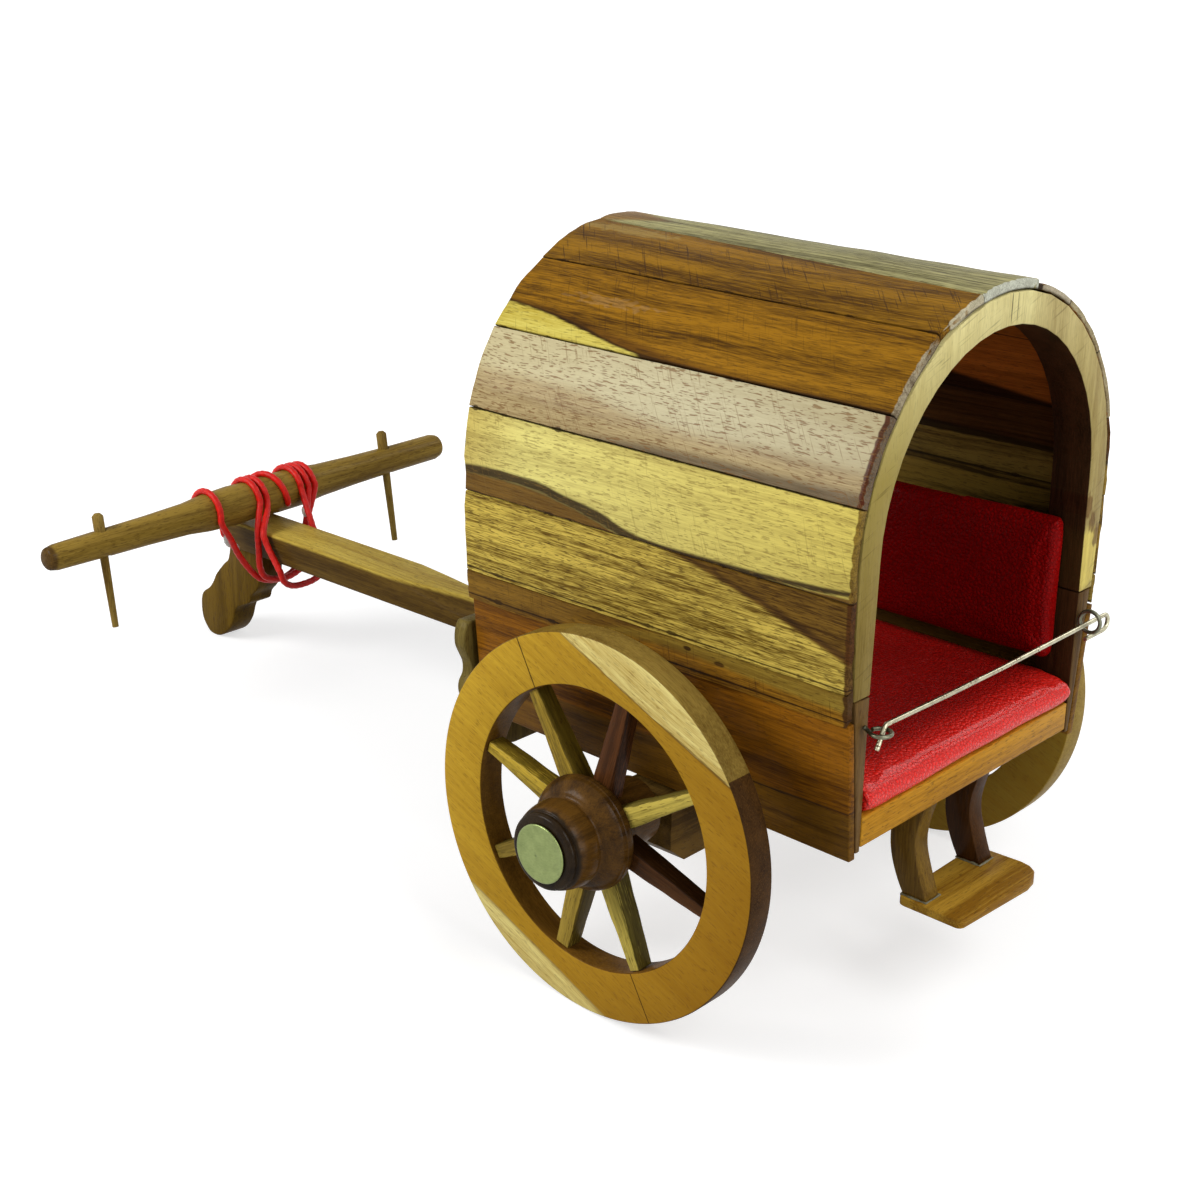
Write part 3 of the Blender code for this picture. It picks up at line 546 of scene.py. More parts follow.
@dataclass(frozen=True)
class Wood:
    """One board's timber: its colours, figure, pores, saw marks and lacquer, with painted shade on inner faces."""

    light: Colour
    dark: Colour
    line: Colour = (0.05, 0.022, 0.006)
    lay: Union[Lay, Turned] = Lay.ALONG
    figure: float = 0.9
    lines: float = 0.7
    fibre: float = 0.55
    pores: float = 0.45
    saw: float = 0.0
    saw_slope: float = 0.35
    run: tuple[tuple[float, Colour], ...] = ()
    marks: tuple["Mark", ...] = ()
    seed: float = 0.0
    wander: float = 3.0
    porous: float = 0.60
    # inside: strength of the painted shade that darkens the inner faces of the hood's planks.
    inside: float = 0.0
    rough: float = 0.42
    coat: float = 0.03
    coat_rough: float = 0.16
    relief: float = 1.0

    def make(self, name: str) -> bpy.types.Material:
        """Builds the material.

        Args:
            name: its name.

        Returns:
            The material.
        """
        g = Graph(name)
        along, across, depth = self.lay.grain(g)
        seed = self.seed * 7.31
        drift = (g.noise(g.vector(along * 0.021 + seed, across * 0.05, depth * 0.05)) - 0.5) * self.wander
        bent = across + drift
        figure = g.noise(g.vector(along * 0.011 + seed, bent * 0.19, depth * 0.19), detail=1.0)
        lines = g.noise(g.vector(along * 0.014, bent * 0.95 + seed, depth * 0.95), detail=2.0)
        fibre = g.noise(g.vector(along * 0.17 - seed, bent * 3.1, depth * 3.1), detail=2.0)
        pore = g.noise(g.vector(along * 0.40, bent * 2.7 - seed, depth * 2.7), detail=1.0)
        pore = pore.ease(self.porous, self.porous + 0.09)
        light: Union[Colour, Value] = self.light
        dark: Union[Colour, Value] = self.dark
        if self.run:
            start, span = self.run[0][0], self.run[-1][0] - self.run[0][0]
            light = g.node("ShaderNodeValToRGB", {"stops": [((x - start) / span, colour) for x, colour in self.run]},
                           {0: (along - start) / span})
            dark = g.mix(0.45, light, self.dark)
        fringe = bent * 0.35 + across * 0.65 + (fibre - 0.5) * 0.9
        for mark in self.marks:
            inside = mark.mask(g, along, fringe if isinstance(mark, Band) else across, depth)
            light = g.mix(inside, light, mark.light)
            dark = g.mix(inside, dark, mark.dark)
        tone = (figure - 0.5) * (2.2 * self.figure) + (lines - 0.5) * (1.8 * self.lines) \
            + (fibre - 0.5) * (2.6 * self.fibre) + 0.55
        colour = g.mix(tone, dark, light)
        colour = g.mix(pore * self.pores, colour, self.line)
        # Painted shade: the inner faces of the hood are darkened towards near black.
        if self.inside:
            colour = g.mix((1 - depth.ease(*INNER_SHADE_DEPTHS)) * self.inside, colour, (0.010, 0.004, 0.002))
        height = fibre * 0.35 + lines * 0.25 - pore * 0.35 + 0.3
        if self.saw:
            cut = g.noise(g.vector((along + across * self.saw_slope) * 1.9, across * 0.10, seed), detail=1.0)
            hair = cut.ease(0.60, 0.72)
            patch = g.noise(g.vector(along * 0.05, across * 0.12, seed + 4.0)).ease(0.35, 0.62)
            colour = g.mix(hair * patch * (0.75 * self.saw), colour, self.line)
            height = height - hair * patch * (0.3 * self.saw)
        smudge = g.noise(g.vector(along * 0.06, across * 0.09, depth * 0.09 + seed), detail=1.0) - 0.5
        rough = smudge * 0.16 + (fibre - 0.5) * 0.12 + self.rough
        return g.finish(colour, rough, height, 0.00012 * self.relief, Gloss(self.coat, self.coat_rough, specular=0.02))


Mark = Union[Band, Spot, EndStrip, Layer, Ring, Arris]


@dataclass(frozen=True)
class Leatherette:
    """Red embossed plastic leather with a pebble grain, with light painted on towards its rear edge."""

    light: Colour = (0.50, 0.007, 0.004)
    dark: Colour = (0.17, 0.002, 0.001)
    # The bright colour and the places in mm, rearwards, over which it comes in are painted light on the rear roll or
    # edge.
    painted_roll_light: Colour = (0.98, 0.018, 0.010)
    edge: tuple[float, float] = (46.0, 60.0)
    depth: float = 0.00034
    gloss: Gloss = Gloss(0.22, 0.12, specular=0.20)

    def make(self, name: str) -> bpy.types.Material:
        """Builds the material.

        Args:
            name: its name.

        Returns:
            The material.
        """
        g = Graph(name)
        x, y, z = g.place()
        at = g.vector(x, y, z)
        wobble = g.noise(at, 0.8, 1.0) - 0.5
        shaken = g.vector(x + wobble * 1.1, y + wobble * 0.8, z - wobble * 0.9)
        pebble = 1 - g.cells(shaken, 0.95, "F1").ease(0.10, 0.80)
        crease = g.cells(shaken, 0.95, "DISTANCE_TO_EDGE").ease(0.0, 0.16)
        fine = g.noise(at, 3.2, 1.0)
        swell = g.noise(at, 0.30, 1.0)
        shade = g.noise(at, 0.06, 2.0)
        tone = crease * 0.30 + pebble * 0.18 + (shade - 0.5) * 0.4 + (swell - 0.5) * 0.3 + 0.35
        colour = g.mix(tone, self.dark, self.light)
        # Painted light: towards the rear the colour turns bright, as on a lit roll, and the darker tone further in
        # stands partly for the hood's shade.
        roll_light_mask = (x * -1).ease(*self.edge) * (crease * 0.22 + pebble * 0.20 + 0.55)
        colour = g.mix(roll_light_mask, colour, self.painted_roll_light)
        height = pebble * 0.50 + crease * 0.35 + fine * 0.06 + swell * 0.10
        rough = (1 - crease) * 0.15 + (fine - 0.5) * 0.10 + 0.32
        return g.finish(colour, rough, height, self.depth, self.gloss)


@dataclass(frozen=True)
class Metal:
    """Bare metal with tarnish, scratches and specks of rust."""

    light: Colour
    dark: Colour
    rust: Colour = (0.12, 0.045, 0.015)
    rusty: float = 0.5
    rough: float = 0.32
    cloudy: float = 1.6
    dimple: Optional[Vector] = None

    def make(self, name: str) -> bpy.types.Material:
        """Builds the material.

        Args:
            name: its name.

        Returns:
            The material.
        """
        g = Graph(name)
        x, y, z = g.place()
        at = g.vector(x, y, z)
        cloud = g.noise(at, 0.35, 2.0)
        scratch = g.noise(g.vector(x * 0.6 + z * 2.8, y * 2.5, z * 0.5 - x * 1.1), 1.0, 1.0)
        speck = g.noise(at, 1.6, 2.0).ease(0.56, 0.66) * g.noise(at, 0.16).ease(0.42, 0.62) * self.rusty
        colour = g.mix((cloud - 0.5) * self.cloudy + (scratch - 0.5) * 0.6 + 0.6, self.dark, self.light)
        colour = g.mix(speck, colour, self.rust)
        height = scratch * 0.25 + cloud * 0.2 + speck * 0.5
        if self.dimple is not None:
            far = g.math("SQRT", (x - self.dimple.x) * (x - self.dimple.x) + (z - self.dimple.z) * (z - self.dimple.z))
            pit = 1 - far.ease(0.15, 0.55)
            height = height - pit * 1.2
            colour = g.mix(pit * 0.7, colour, self.dark)
        rough = speck * 0.35 + (cloud - 0.5) * 0.18 + (scratch - 0.5) * 0.12 + self.rough
        g.tree.links.new((1 - speck * 0.8).socket, g.shader.inputs["Metallic"])
        return g.finish(colour, rough, height, 0.00006, Gloss(metal=1.0))


@dataclass(frozen=True)
class Plastic:
    """Soft dyed stuff: the red cord's fibre or the clear glue."""

    light: Colour
    dark: Colour
    scale: float
    rough: float
    gloss: Gloss
    depth: float = 0.00005

    def make(self, name: str) -> bpy.types.Material:
        """Builds the material.

        Args:
            name: its name.

        Returns:
            The material.
        """
        g = Graph(name)
        x, y, z = g.place()
        at = g.vector(x, y, z)
        fine = g.noise(at, self.scale, 2.0)
        cloud = g.noise(at, self.scale * 0.12, 1.0)
        colour = g.mix((fine - 0.5) * 1.2 + (cloud - 0.5) * 1.2 + 0.5, self.dark, self.light)
        rough = (fine - 0.5) * 0.25 + self.rough
        return g.finish(colour, rough, fine, self.depth, self.gloss)


# ---------------------------------------------------------------------------------------------------------------------
# Mesh work
# ---------------------------------------------------------------------------------------------------------------------
def add_piece(name: str, mesh: bpy.types.Mesh, body: str, slot: str, finish: bpy.types.Material, *nodes: str,
              sharp: float = 40.0) -> bpy.types.Object:
    """Adds a piece of the cart.

    Args:
        name: its name.
        mesh: its mesh in the scene's metres.
        body: the body that it rides on.
        slot: not used.
        finish: its material.
        nodes: the nodes that it stands for.
        sharp: angle in degrees above which an edge stays sharp.

    Returns:
        The object.
    """
    mesh.materials.clear()
    mesh.materials.append(finish)
    mesh.polygons.foreach_set("use_smooth", [True] * len(mesh.polygons))
    mesh.polygons.foreach_set("material_index", [0] * len(mesh.polygons))
    mesh.set_sharp_from_angle(angle=math.radians(sharp))
    piece = bpy.data.objects.new(name, mesh)
    bpy.context.scene.collection.objects.link(piece)
    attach(piece, body)
    if nodes:
        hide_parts(*nodes)
    LOG.info("%s: %d faces on %s", name, len(mesh.polygons), body)
    return piece


def settled(work: bmesh.types.BMesh, name: str) -> bpy.types.Mesh:
    """Turns worked geometry into a mesh.

    Args:
        work: the geometry, which is let go.
        name: the mesh's name.

    Returns:
        The mesh.
    """
    mesh = bpy.data.meshes.new(name)
    work.to_mesh(mesh)
    work.free()
    return mesh


def skin(name: str, rings: Sequence[Sequence[Vector]], closed: bool = False) -> bpy.types.Mesh:
    """Joins rings of points into one closed skin.

    Args:
        name: the mesh's name.
        rings: rings with equal counts of points in the scene's metres.
        closed: whether the last ring joins the first.

    Returns:
        The mesh.
    """
    work = bmesh.new()
    rows = [[work.verts.new(point) for point in ring] for ring in rings]
    count = len(rows[0])
    pairs = list(zip(rows, rows[1:])) + ([(rows[-1], rows[0])] if closed else [])
    for first, second in pairs:
        for i in range(count):
            j = (i + 1) % count
            work.faces.new((first[i], first[j], second[j], second[i]))
    if not closed:
        work.faces.new(rows[0])
        work.faces.new(rows[-1])
    bmesh.ops.recalc_face_normals(work, faces=work.faces)
    return settled(work, name)


def eased(name: str, node: str, edge: float, turn: float = 25.0, segments: int = 2,
          corner: float = 0.0) -> bpy.types.Mesh:
    """Copies a node's mesh and wears its edges.

    Args:
        name: the new mesh's name.
        node: the node that is copied.
        edge: width of the worn edge in metres.
        turn: angle in degrees above which an edge is worn.
        segments: steps of the rounding.
        corner: how much of each upright corner is rounded first, in metres.

    Returns:
        The mesh.
    """
    work = bmesh.new()
    work.from_mesh(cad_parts[node].data)
    bmesh.ops.remove_doubles(work, verts=work.verts, dist=MERGE)
    bmesh.ops.dissolve_limit(work, angle_limit=IN_PLANE, verts=work.verts, edges=work.edges)
    if corner:
        upright = [e for e in work.edges if len(e.link_faces) == 2 and e.calc_face_angle(0.0) > math.radians(turn)
                   and abs((e.verts[0].co - e.verts[1].co).normalized().z) > 0.9]
        bmesh.ops.bevel(work, geom=upright, offset=corner, segments=5, profile=0.5, affect="EDGES", clamp_overlap=True)
    sharp = [e for e in work.edges if len(e.link_faces) == 2 and e.calc_face_angle(0.0) > math.radians(turn)]
    if edge:
        bmesh.ops.bevel(work, geom=sharp, offset=edge, segments=segments, profile=0.5, affect="EDGES",
                        clamp_overlap=True)
    bmesh.ops.recalc_face_normals(work, faces=work.faces)
    return settled(work, name)


def add_worn(name: str, wood: Wood, slot: str, edge: float, sharp: float = 30.0, turn: float = 25.0,
             corner: float = 0.0) -> bpy.types.Object:
    """Adds a wooden piece that has its node's shape with worn edges.

    Args:
        name: the node.
        wood: its timber.
        slot: not used; it is only passed on.
        edge: width of the worn edge in metres.
        sharp: angle in degrees above which an edge stays sharp.
        turn: angle in degrees above which an edge is worn.
        corner: how much of each upright corner is rounded first, in metres.

    Returns:
        The object.
    """
    mesh = eased(name + "_worn", name, edge, turn, corner=corner)
    return add_piece(name + "_worn", mesh, "cart", slot, wood.make(name + "_wood"), name, sharp=sharp)


def spline(points: Sequence[Sequence[float]], steps: int) -> list[Vector]:
    """Draws a smooth row of points through the given ones.

    Args:
        points: the given points.
        steps: points for each stretch.

    Returns:
        The row.
    """
    given = [Vector(point) for point in points]
    count = len(given)
    row = []
    for i in range(count - 1):
        p = [given[min(max(i + k, 0), count - 1)] for k in (-1, 0, 1, 2)]
        for step in range(steps):
            t = step / steps
            row.append(0.5 * (2 * p[1] + (p[2] - p[0]) * t + (2 * p[0] - 5 * p[1] + 4 * p[2] - p[3]) * t ** 2
                              + (3 * p[1] - p[0] - 3 * p[2] + p[3]) * t ** 3))
    return row + [given[-1]]


def sweep(path: Sequence[Vector], section: Callable[[int, float], float], sides: int) -> list[list[Vector]]:
    """Sweeps a section along a path.

    Args:
        path: the points that it follows.
        section: gives the radius at a step of the path and a turn of the section.
        sides: points round the section.

    Returns:
        The rings.
    """
    rings = []
    normal = None
    for i, point in enumerate(path):
        ahead = (path[min(i + 1, len(path) - 1)] - path[max(i - 1, 0)]).normalized()
        if normal is None:
            normal = ahead.orthogonal().normalized()
        normal = (normal - ahead * normal.dot(ahead)).normalized()
        across = ahead.cross(normal)
        ring = []
        for k in range(sides):
            turn = math.tau * k / sides
            ring.append(point + (normal * math.cos(turn) + across * math.sin(turn)) * section(i, turn))
        rings.append(ring)
    return rings


def wobble(point: Vector, size: float, reach: float, seed: float = 0.0) -> Vector:
    """Gives a small uneven shift.

    Args:
        point: the place that it belongs to.
        size: the size of the unevenness in metres.
        reach: its greatest depth in metres.
        seed: picks another pattern.

    Returns:
        The shift.
    """
    return noise.noise_vector(point / size + Vector((seed, seed * 1.7, -seed))) * reach


# ---------------------------------------------------------------------------------------------------------------------
# Hood
# ---------------------------------------------------------------------------------------------------------------------
@dataclass
class Plank:
    """One board of the hood, curved over the arches."""

    node: str
    side: int
    rear: tuple[float, float]
    front: tuple[float, float]
    thickness: float
    wood: Wood
    ends: tuple[float, float] = (-0.0595, 0.0615)
    gap: float = 0.0003
    foot: float = 0.0548
    draw: float = 0.005
    end_wear: float = 0.00035
    end_share: float = 0.0035
    arris_wear: tuple[float, float] = (0.00030, 0.00006)
    unevenness: tuple[float, float] = (0.00016, 0.00003)
    splinter: float = 0.0007
    chip: float = 0.0022

    def point(self, turn: float, offset: float) -> tuple[float, float]:
        """Gives a point of the hood's section.

        Args:
            turn: turn from the ridge in radians, positive to the left.
            offset: distance outside the arch in metres.

        Returns:
            Its y and level z.
        """
        side = math.copysign(1.0, turn)
        turn = abs(turn)
        radius = ARCH_R + offset
        if turn <= math.pi / 2:
            return side * radius * math.sin(turn), ARCH_Z + radius * math.cos(turn)
        height = ARCH_Z - radius * math.tan(turn - math.pi / 2)
        drop = (ARCH_Z - height) / (ARCH_Z - self.foot)
        return side * (radius - self.draw * drop ** 2), height

    def build(self, stations: int = 44, steps: int = 10) -> bpy.types.Mesh:
        """Builds the board with worn arrises, an uneven face and chipped ends.

        Args:
            stations: places along it.
            steps: places round it.

        Returns:
            The mesh.
        """
        rings = []
        trim = self.gap / 2 / ARCH_R
        span = self.ends[1] - self.ends[0]
        share_ends = (0.0, 0.0012, self.end_share)
        shares = [*share_ends, *[0.01 + 0.98 * i / stations for i in range(stations + 1)],
                  *[1 - s for s in reversed(share_ends)]]
        for share in shares:
            x = self.ends[0] + span * share
            start = self.rear[0] + (self.front[0] - self.rear[0]) * share + trim
            end = self.rear[1] + (self.front[1] - self.rear[1]) * share - trim
            wear = self.end_wear * max(0.0, 1 - min(share, 1 - share) / self.end_share) ** 2
            row = []
            for i in range(steps + 1):
                t = i / steps
                lip = 0.022 * (end - start)
                t = (0.0, lip)[i > 0] if i < 2 else ((1.0, 1.0 - lip)[i < steps] if i > steps - 2 else t)
                row.append(start + (end - start) * t)
            ring = []
            for k, turn in enumerate(row):
                edge = {0: self.arris_wear[0], 1: self.arris_wear[1]}.get(min(k, steps - k), 0.0)
                y, z = self.point(self.side * turn, self.gap + self.thickness - edge - wear)
                ring.append((y, z))
            for k, turn in reversed(list(enumerate(row))):
                turn += {0: -trim, steps: trim}.get(k, 0.0)
                ring.append(self.point(self.side * turn, self.gap + wear * 0.5))
            points = []
            for k, (y, z) in enumerate(ring):
                shift = wobble(Vector((x, y, z)), 0.011, self.unevenness[k > steps], len(self.node))
                ragged = 0.0
                if share < 0.004 or share > 0.996:
                    ragged = abs(noise.noise(Vector((y * 420, z * 420, share * 9 + len(self.node))))) * self.splinter
                    ragged += max(0.0, noise.noise(Vector((y * 130, z * 130, share * 5))) - 0.25) * self.chip
                inset = ragged if share < 0.5 else -ragged
                points.append(parked(x + inset, y + shift.y, z + shift.z))
            rings.append(points)
        return skin(self.node + "_board", rings)

    def dress(self) -> bpy.types.Object:
        """Adds the board with its finish."""
        return add_piece(self.node + "_board", self.build(), "cart", "plank_wood", self.wood.make(self.node + "_wood"),
                         self.node, sharp=35.0)


def flat(value: float) -> Curve:
    """Gives a curve that stays at one place across a board."""
    return (-CURVE_END, value), (CURVE_END, value)


def sawn_end(light: Colour, dark: Colour, inner: float = -59.0, blur: float = 0.15,
             strength: float = 0.95) -> EndStrip:
    """Gives the sawn rear end of a plank, up to a place along it in mm."""
    return EndStrip(light, dark, PLANK_REAR, inner, blur, strength)


def soffit_shade(light: Colour, dark: Colour, strength: float) -> Ring:
    """Gives painted shade on the inner face of the rear arch and of its posts."""
    return Ring(light, dark, (ARCH_Z / MM, 0.0), -5.0, 50.0, 0.12, strength, True, -59.35)


SAP = (0.60, 0.52, 0.14)
INK = (0.022, 0.011, 0.004)


@dataclass
class Hood:
    """Planks, arches, posts and side boards."""

    rear_turns: tuple[float, ...] = (12.3, 30.1, 53.2, 75.0, 97.0, 117.0, 123.0)
    front_turns: tuple[float, ...] = (7.3, 30.1, 53.2, 75.0, 97.0, 117.0, 123.0)
    thickness: float = 0.0024
    far_thickness: float = 0.0016
    arch_edge: float = 0.00035
    side_edge: float = 0.0003

    def timbers(self) -> dict[str, Wood]:
        """Gives each plank's timber as the photograph shows it, and plain ones for the far side.

        Returns:
            The timbers by node.
        """
        lay = Lay.HOOD
        return {
            "ridge_plank": Wood((0.45, 0.41, 0.175), (0.11, 0.098, 0.034), lay=lay, seed=1, figure=0.8, lines=1.0,
                                fibre=0.8, inside=0.6, marks=(
                Band((0.28, 0.14, 0.022), (0.13, 0.06, 0.010), flat(-15.0), ((-65, -15), (20, -9), (45, 1), (65, 12)),
                     2.0, 0.9),
                sawn_end((0.66, 0.68, 0.56), (0.44, 0.44, 0.35)))),
            "plank_left_1": Wood((0.31, 0.150, 0.011), (0.075, 0.032, 0.004), lay=lay, seed=2, figure=1.0, lines=0.6,
                                 fibre=0.8, saw=1.0, saw_slope=0.9, pores=0.3, inside=0.6, marks=(
                Spot((0.36, 0.25, 0.07), (0.20, 0.13, 0.03), (46.0, 12.0), (17.0, 2.6), 0.6, 1.0),
                sawn_end((0.64, 0.58, 0.40), (0.40, 0.36, 0.24)))),
            "plank_left_2": Wood((0.33, 0.152, 0.010), (0.075, 0.032, 0.004), lay=lay, seed=3, figure=0.9, lines=0.7,
                                 fibre=0.8, saw=0.5, saw_slope=0.6, pores=0.35, inside=0.6, marks=(
                Band((0.13, 0.052, 0.006), (0.045, 0.018, 0.003),
                     ((-65, 52.4), (0, 51.2), (14.5, 49.4), (22, 48.6), (35, 46.4), (48.5, 45.3), (65, 44.2)),
                     ((-65, 56), (14.5, 52.6), (22, 51.4), (35, 48.9), (48.5, 46.7), (65, 45.3)), 1.1, 0.85),
                Band((0.030, 0.013, 0.004), INK,
                     ((-65, 52.6), (5, 52.0), (14.5, 51.6), (22, 50.6), (35, 47.8), (48.5, 45.9), (65, 44.8)),
                     ((-65, 56), (14.5, 52.6), (22, 51.4), (35, 48.9), (48.5, 46.7), (65, 45.3)), 0.35, 0.9),
                Band((0.66, 0.56, 0.12), (0.46, 0.34, 0.04),
                     ((-65, 60), (5, 56), (14.5, 52.3), (22.2, 51.2), (35.2, 48.7), (48.5, 46.5), (65, 45.3)),
                     flat(60.0), 0.35),
                Spot((0.42, 0.32, 0.22), (0.26, 0.17, 0.08), (30.0, 40.0), (13.0, 1.6), 0.14, 1.9),
                sawn_end((0.44, 0.38, 0.25), (0.17, 0.13, 0.08), -58.9))),
            # Partly a painted reflection: this plank's pale pinkish colours stand partly for a lamp mirrored in its
            # lacquer.
            "plank_left_3": Wood((0.54, 0.46, 0.27), (0.37, 0.29, 0.155), line=(0.21, 0.105, 0.035), lay=lay, seed=4,
                                 figure=0.45, lines=0.5, fibre=0.75, pores=0.75, porous=0.57, saw=0.55, saw_slope=0.75,
                                 coat=0.08, relief=1.6, inside=0.6,
                                 run=((-60, (0.50, 0.43, 0.25)), (-10, (0.60, 0.54, 0.33)), (60, (0.60, 0.52, 0.29))),
                                 marks=(
                Band((0.46, 0.34, 0.155), (0.25, 0.16, 0.060),
                     ((-65, 66.5), (-36, 67.0), (-10.5, 67.6), (11.8, 66.4), (28.7, 64.2), (65, 64.0)), flat(80), 2.2,
                     0.85),
                Band((0.12, 0.085, 0.055), (0.05, 0.035, 0.024),
                     ((-65, 71.2), (-30, 71.8), (0, 72.8), (20, 74.2), (65, 76)), flat(80), 1.3, 0.75),
                sawn_end((0.10, 0.018, 0.005), (0.04, 0.009, 0.003), -57.9, 0.25, 0.95),
                sawn_end((0.22, 0.17, 0.11), (0.08, 0.055, 0.035), -59.15, 0.12, 0.95))),
            "plank_left_4": Wood(SAP, (0.24, 0.155, 0.035), line=(0.20, 0.115, 0.025), lay=lay, seed=5, figure=0.85,
                                 lines=0.8, fibre=0.9, pores=0.45, porous=0.57, saw=0.35, wander=2.0, coat=0.08,
                                 relief=1.6, inside=0.6,
                                 run=((-60, (0.76, 0.62, 0.135)), (-20, (0.74, 0.62, 0.16)), (40, (0.82, 0.73, 0.23)),
                                      (60, (0.62, 0.49, 0.13))),
                                 marks=(
                Band((0.20, 0.105, 0.019), (0.10, 0.048, 0.009),
                     ((-65, 94.3), (-36, 96.0), (-1.5, 97.0), (15, 94.4), (27, 92.2), (40.8, 90.8), (65, 91.6)),
                     flat(100), 0.35),
                Band((0.045, 0.024, 0.009), INK,
                     ((-65, 92.3), (-36, 94.6), (-18, 95.0), (-1.5, 95.0), (15.2, 91.6), (27.3, 90.0), (40.8, 88.4),
                      (65, 89.8)),
                     ((-65, 93.7), (-36, 96.0), (-18, 96.6), (-1.5, 96.8), (15.1, 94.5), (27.2, 92.3), (40.8, 90.9),
                      (65, 91.9)),
                     0.45, 0.96),
                sawn_end((0.26, 0.15, 0.020), (0.08, 0.035, 0.006), -58.8, 0.2, 0.9))),
            "plank_left_5": Wood((0.70, 0.52, 0.095), (0.16, 0.094, 0.013), lay=lay, seed=6, figure=0.6, lines=1.2,
                                 fibre=1.0, pores=0.6, porous=0.57, wander=1.6, inside=0.6, marks=(
                Band((0.20, 0.105, 0.016), (0.055, 0.024, 0.005), flat(90),
                     ((-65, 112.6), (-58, 110.4), (-49.6, 107.6), (-36.5, 103.7), (-21.2, 99.5), (-9.1, 96.9),
                      (65, 94)),
                     0.7),
                Band((0.07, 0.030, 0.010), INK,
                     ((-65, 109.6), (-50, 105.6), (-40, 102.6), (-28, 99.6), (-12, 96.0), (65, 90)),
                     ((-65, 111.4), (-50, 107.3), (-40, 103.9), (-28, 100.6), (-12, 96.6), (65, 91)), 0.7, 0.75),
                sawn_end((0.10, 0.035, 0.010), (0.04, 0.016, 0.005), -58.5, 0.3, 0.9))),
            "plank_left_6": Wood((0.38, 0.180, 0.016), (0.105, 0.044, 0.006), lay=lay, seed=7, figure=0.9, lines=0.8,
                                 fibre=0.7, saw=0.55, saw_slope=0.1, inside=0.6, marks=(
                Band((0.25, 0.135, 0.020), (0.095, 0.047, 0.010), flat(110),
                     ((-65, 100), (-20, 108), (10, 121), (65, 128)),
                     1.5, 0.9),
                Band((0.33, 0.23, 0.035), (0.20, 0.12, 0.018),
                     ((-65, 117), (-20, 117.4), (0, 118.5), (25, 124), (65, 128)),
                     ((-65, 122.6), (-30, 121.6), (-10, 120.8), (25, 123), (65, 127)), 0.9, 0.9),
                Spot((0.05, 0.018, 0.006), INK, (-13.0, 119.5), (1.3, 0.6), 0.9),
                Spot((0.08, 0.028, 0.009), INK, (-22.8, 120.9), (1.5, 0.7), 0.8),
                Spot((0.04, 0.016, 0.006), INK, (-8.0, 117.7), (2.2, 0.5), 0.9),
                sawn_end((0.07, 0.026, 0.009), (0.035, 0.014, 0.005), -58.5, 0.3, 0.9))),
            "plank_right_1": Wood((0.25, 0.115, 0.018), (0.10, 0.042, 0.008), lay=lay, seed=12, saw=0.2, inside=0.45,
                                  marks=(sawn_end((0.56, 0.50, 0.36), (0.34, 0.29, 0.19), strength=0.9),
                                         Spot(INK, INK, (-60.0, 13.6), (1.1, 1.7), 0.97, 0.7))),
            "plank_right_2": Wood((0.30, 0.185, 0.040), (0.13, 0.070, 0.014), lay=lay, seed=13, marks=(
                Layer((0.42, 0.130, 0.018), (0.20, 0.060, 0.008), 54.65, 0.12),
                sawn_end((0.50, 0.43, 0.26), (0.26, 0.20, 0.10), strength=0.9))),
            "plank_right_3": Wood((0.24, 0.125, 0.022), (0.10, 0.045, 0.009), lay=lay, seed=14, figure=0.9,
                                  marks=(Layer((0.50, 0.150, 0.021), (0.24, 0.070, 0.009), 54.65, 0.12),
                                         sawn_end((0.50, 0.43, 0.26), (0.26, 0.20, 0.10), strength=0.9),
                                         Band((0.035, 0.014, 0.005), (0.012, 0.005, 0.002),
                                              ((-65, 76.5), (-47, 74.2), (-15, 69.8), (40, 62.0), (65, 59)), flat(80.0),
                                              0.8, 0.97),)),
            "plank_right_4": Wood((0.36, 0.24, 0.05), (0.11, 0.062, 0.013), lay=lay, seed=15, lines=1.2, inside=0.15,
                                  marks=(Band((0.105, 0.038, 0.010), (0.045, 0.017, 0.005), flat(70), flat(86.6), 0.7,
                                              0.95),
                                         Band(INK, INK, ((-65, 86.8), (0, 85.6), (65, 85.6)), flat(88.0), 0.4, 0.9))),
            "plank_right_5": Wood((0.32, 0.20, 0.035), (0.06, 0.034, 0.009), lay=lay, seed=16, lines=1.4, figure=1.2,
                                  inside=0.15),
            "plank_right_6": Wood((0.34, 0.24, 0.045), (0.15, 0.085, 0.016), lay=lay, seed=17, lines=0.9, inside=0.6),
        }

    def planks(self) -> None:
        """Builds the ridge and the planks of both sides, with dark joints between them."""
        timbers = self.timbers()
        turns = [(math.radians(a), math.radians(b)) for a, b in zip(self.rear_turns, self.front_turns)]
        ridge = Plank("ridge_plank", 1, (-turns[0][0], turns[0][0]), (-turns[0][1], turns[0][1]), self.thickness,
                      timbers["ridge_plank"])
        ridge.dress()
        for number in range(1, len(turns)):
            for name, side, thickness in (("left", 1, self.thickness), ("right", -1, self.far_thickness)):
                node = f"plank_{name}_{number}"
                first, second = turns[number - 1], turns[number]
                edges = [Arris(self.seam(turn)) for turn in (first[0], second[0])[number == 1:]]
                wood = replace(timbers[node], marks=timbers[node].marks + tuple(edges))
                Plank(node, side, (first[0], second[0]), (first[1], second[1]), thickness, wood).dress()

    def seam(self, turn: float) -> float:
        """Gives a joint's place round the hood in mm."""
        return HOOD_R * min(turn, math.pi / 2) + max(0.0, ARCH_R / MM * math.tan(max(turn - math.pi / 2, 0.0)))

